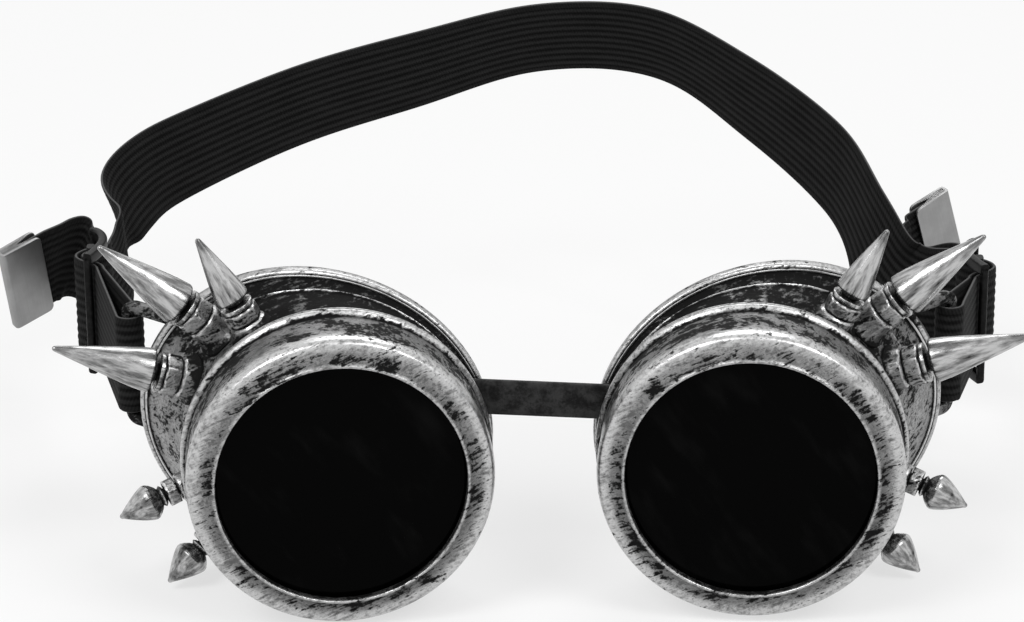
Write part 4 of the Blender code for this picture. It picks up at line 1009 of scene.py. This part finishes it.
# A cut lies where the whole width of the band is behind the end of the band's stretch in giveWay
across, travel = bandDirections(route, band["settle"])[1::2]
reach = np.abs(across[:, 1]) * strap["width"] / 2 + strap["thickness"]
fixed = np.nonzero(route[:, 1] - reach > giveWay["band"][-1])[0]
cuts = {-1: (0, int(fixed[0])), 1: (int(fixed[-1]), len(route) - 1)}
piece = makeStrap("headStrap", route, cuts[-1][1], cuts[1][0], band["settle"], "head_strap",
                  "stretched", "left_cup")
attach(piece, "frame")
for side, name in sides.items():
    piece = makeStrap(name + "StrapRoot", route, *cuts[side], band["settle"], "head_strap",
                      "stretched", name + "_slider")
    stretchOf(piece, (name + "_strap_slider", "frame"), *giveWay["band"])
print("head strap in all:", round(travel[-1]), "mm long")

# The gaskets keep their own shape
for name in sides.values():
    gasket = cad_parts[name + "_lens_gasket"]
    gasket.data.materials.clear()
    gasket.data.materials.append(finishes["black rubber"])


# Floor, light and camera. Lengths are in metres here

stage = dict(floorHalf=4.0, floorGrey=0.88, floorGlow=0.66, sky=0.42)
# Place, aim, width and height, and power of each lamp
lamps = dict(leftLamp=((-0.50, -0.60, 0.85), (0.0, -0.04, 0.03), (0.45, 0.40), 5.0),
             rightLamp=((0.50, -0.60, 0.85), (0.0, -0.04, 0.03), (0.45, 0.40), 4.2),
             backLamp=((0.1, 0.8, 0.9), (0.0, 0.0, 0.03), (0.7, 0.35), 3.5))
# The camera's place, its angles in radians, its lens in mm, and the nearest distance it shows
view = dict(place=(-0.007695, -0.717741, 0.315815), pan=0.0149, tilt=0.3745, roll=-0.0072,
            lens=132.34, nearest=0.01)


def seenDirectly(finish):
    # One for camera, glossy and transmission rays, zero for all others
    rays = [finish.node("LightPath", output=ray)
            for ray in ("Is Camera Ray", "Is Glossy Ray", "Is Transmission Ray")]
    return rays[0].above(rays[1]).above(rays[2])


def makeFloor():
    # A square lit as any surface, and mixed with a white glow where it is seen directly
    corners = stage["floorHalf"] * np.array([(-1, -1, 0), (1, -1, 0), (1, 1, 0), (-1, 1, 0)])
    mesh = bpy.data.meshes.new("floor")
    mesh.from_pydata(corners.tolist(), [], [(0, 1, 2, 3)])
    finish = Finish("paleFloor", Base_Color=(stage["floorGrey"],) * 3 + (1.0,), Roughness=0.9,
                    Specular_Ior_Level=0.0)
    glow = finish.node("Emission", {"Color": (1.0, 1.0, 1.0, 1.0), "Strength": 1.0})
    lit = Wire(finish, finish.shader.outputs[0])
    both = finish.node("MixShader", {0: seenDirectly(finish) * stage["floorGlow"], 1: lit, 2: glow})
    finish.tree.links.new(both.socket, finish.result)
    mesh.materials.append(finish.material)
    addedToScene("floor", mesh)


def makeWorld():
    # White where it is seen directly, and a plain grey light elsewhere
    world = bpy.data.worlds.new("paleRoom")
    world.use_nodes = True
    bpy.context.scene.world = world
    room = NodeBench(world.node_tree, "World Output", "Surface")
    plain, shown = (room.node("Background", {"Color": (1.0, 1.0, 1.0, 1.0), "Strength": strength})
                    for strength in (stage["sky"], 1.0))
    both = room.node("MixShader", {0: seenDirectly(room), 1: plain, 2: shown})
    room.tree.links.new(both.socket, room.result)


def makeLamp(name, place, aim, size, power):
    # A lit rectangle at its place, whose face is turned to its aim
    lamp = bpy.data.lights.new(name, "AREA")
    lamp.shape, lamp.size, lamp.size_y, lamp.energy = "RECTANGLE", size[0], size[1], power
    turn = (Vector(aim) - Vector(place)).to_track_quat("-Z", "Y").to_matrix().to_4x4()
    addedToScene(name, lamp).matrix_world = Matrix.Translation(place) @ turn


def makeCamera():
    # Looks along +Y turned right by pan, down by tilt, and rolled about its line of sight
    camera = bpy.data.cameras.new("photoView")
    camera.lens, camera.clip_start = view["lens"], view["nearest"]
    holder = addedToScene("photoView", camera)
    holder.matrix_world = (Matrix.Translation(view["place"]) @ Matrix.Rotation(-view["pan"], 4, "Z")
                           @ Matrix.Rotation(math.pi / 2 - view["tilt"], 4, "X")
                           @ Matrix.Rotation(view["roll"], 4, "Z"))
    bpy.context.scene.camera = holder


makeFloor()
makeWorld()
for name, settings in lamps.items():
    makeLamp(name, *settings)
makeCamera()
bpy.context.scene.view_settings.view_transform = "Standard"
print("stage set")
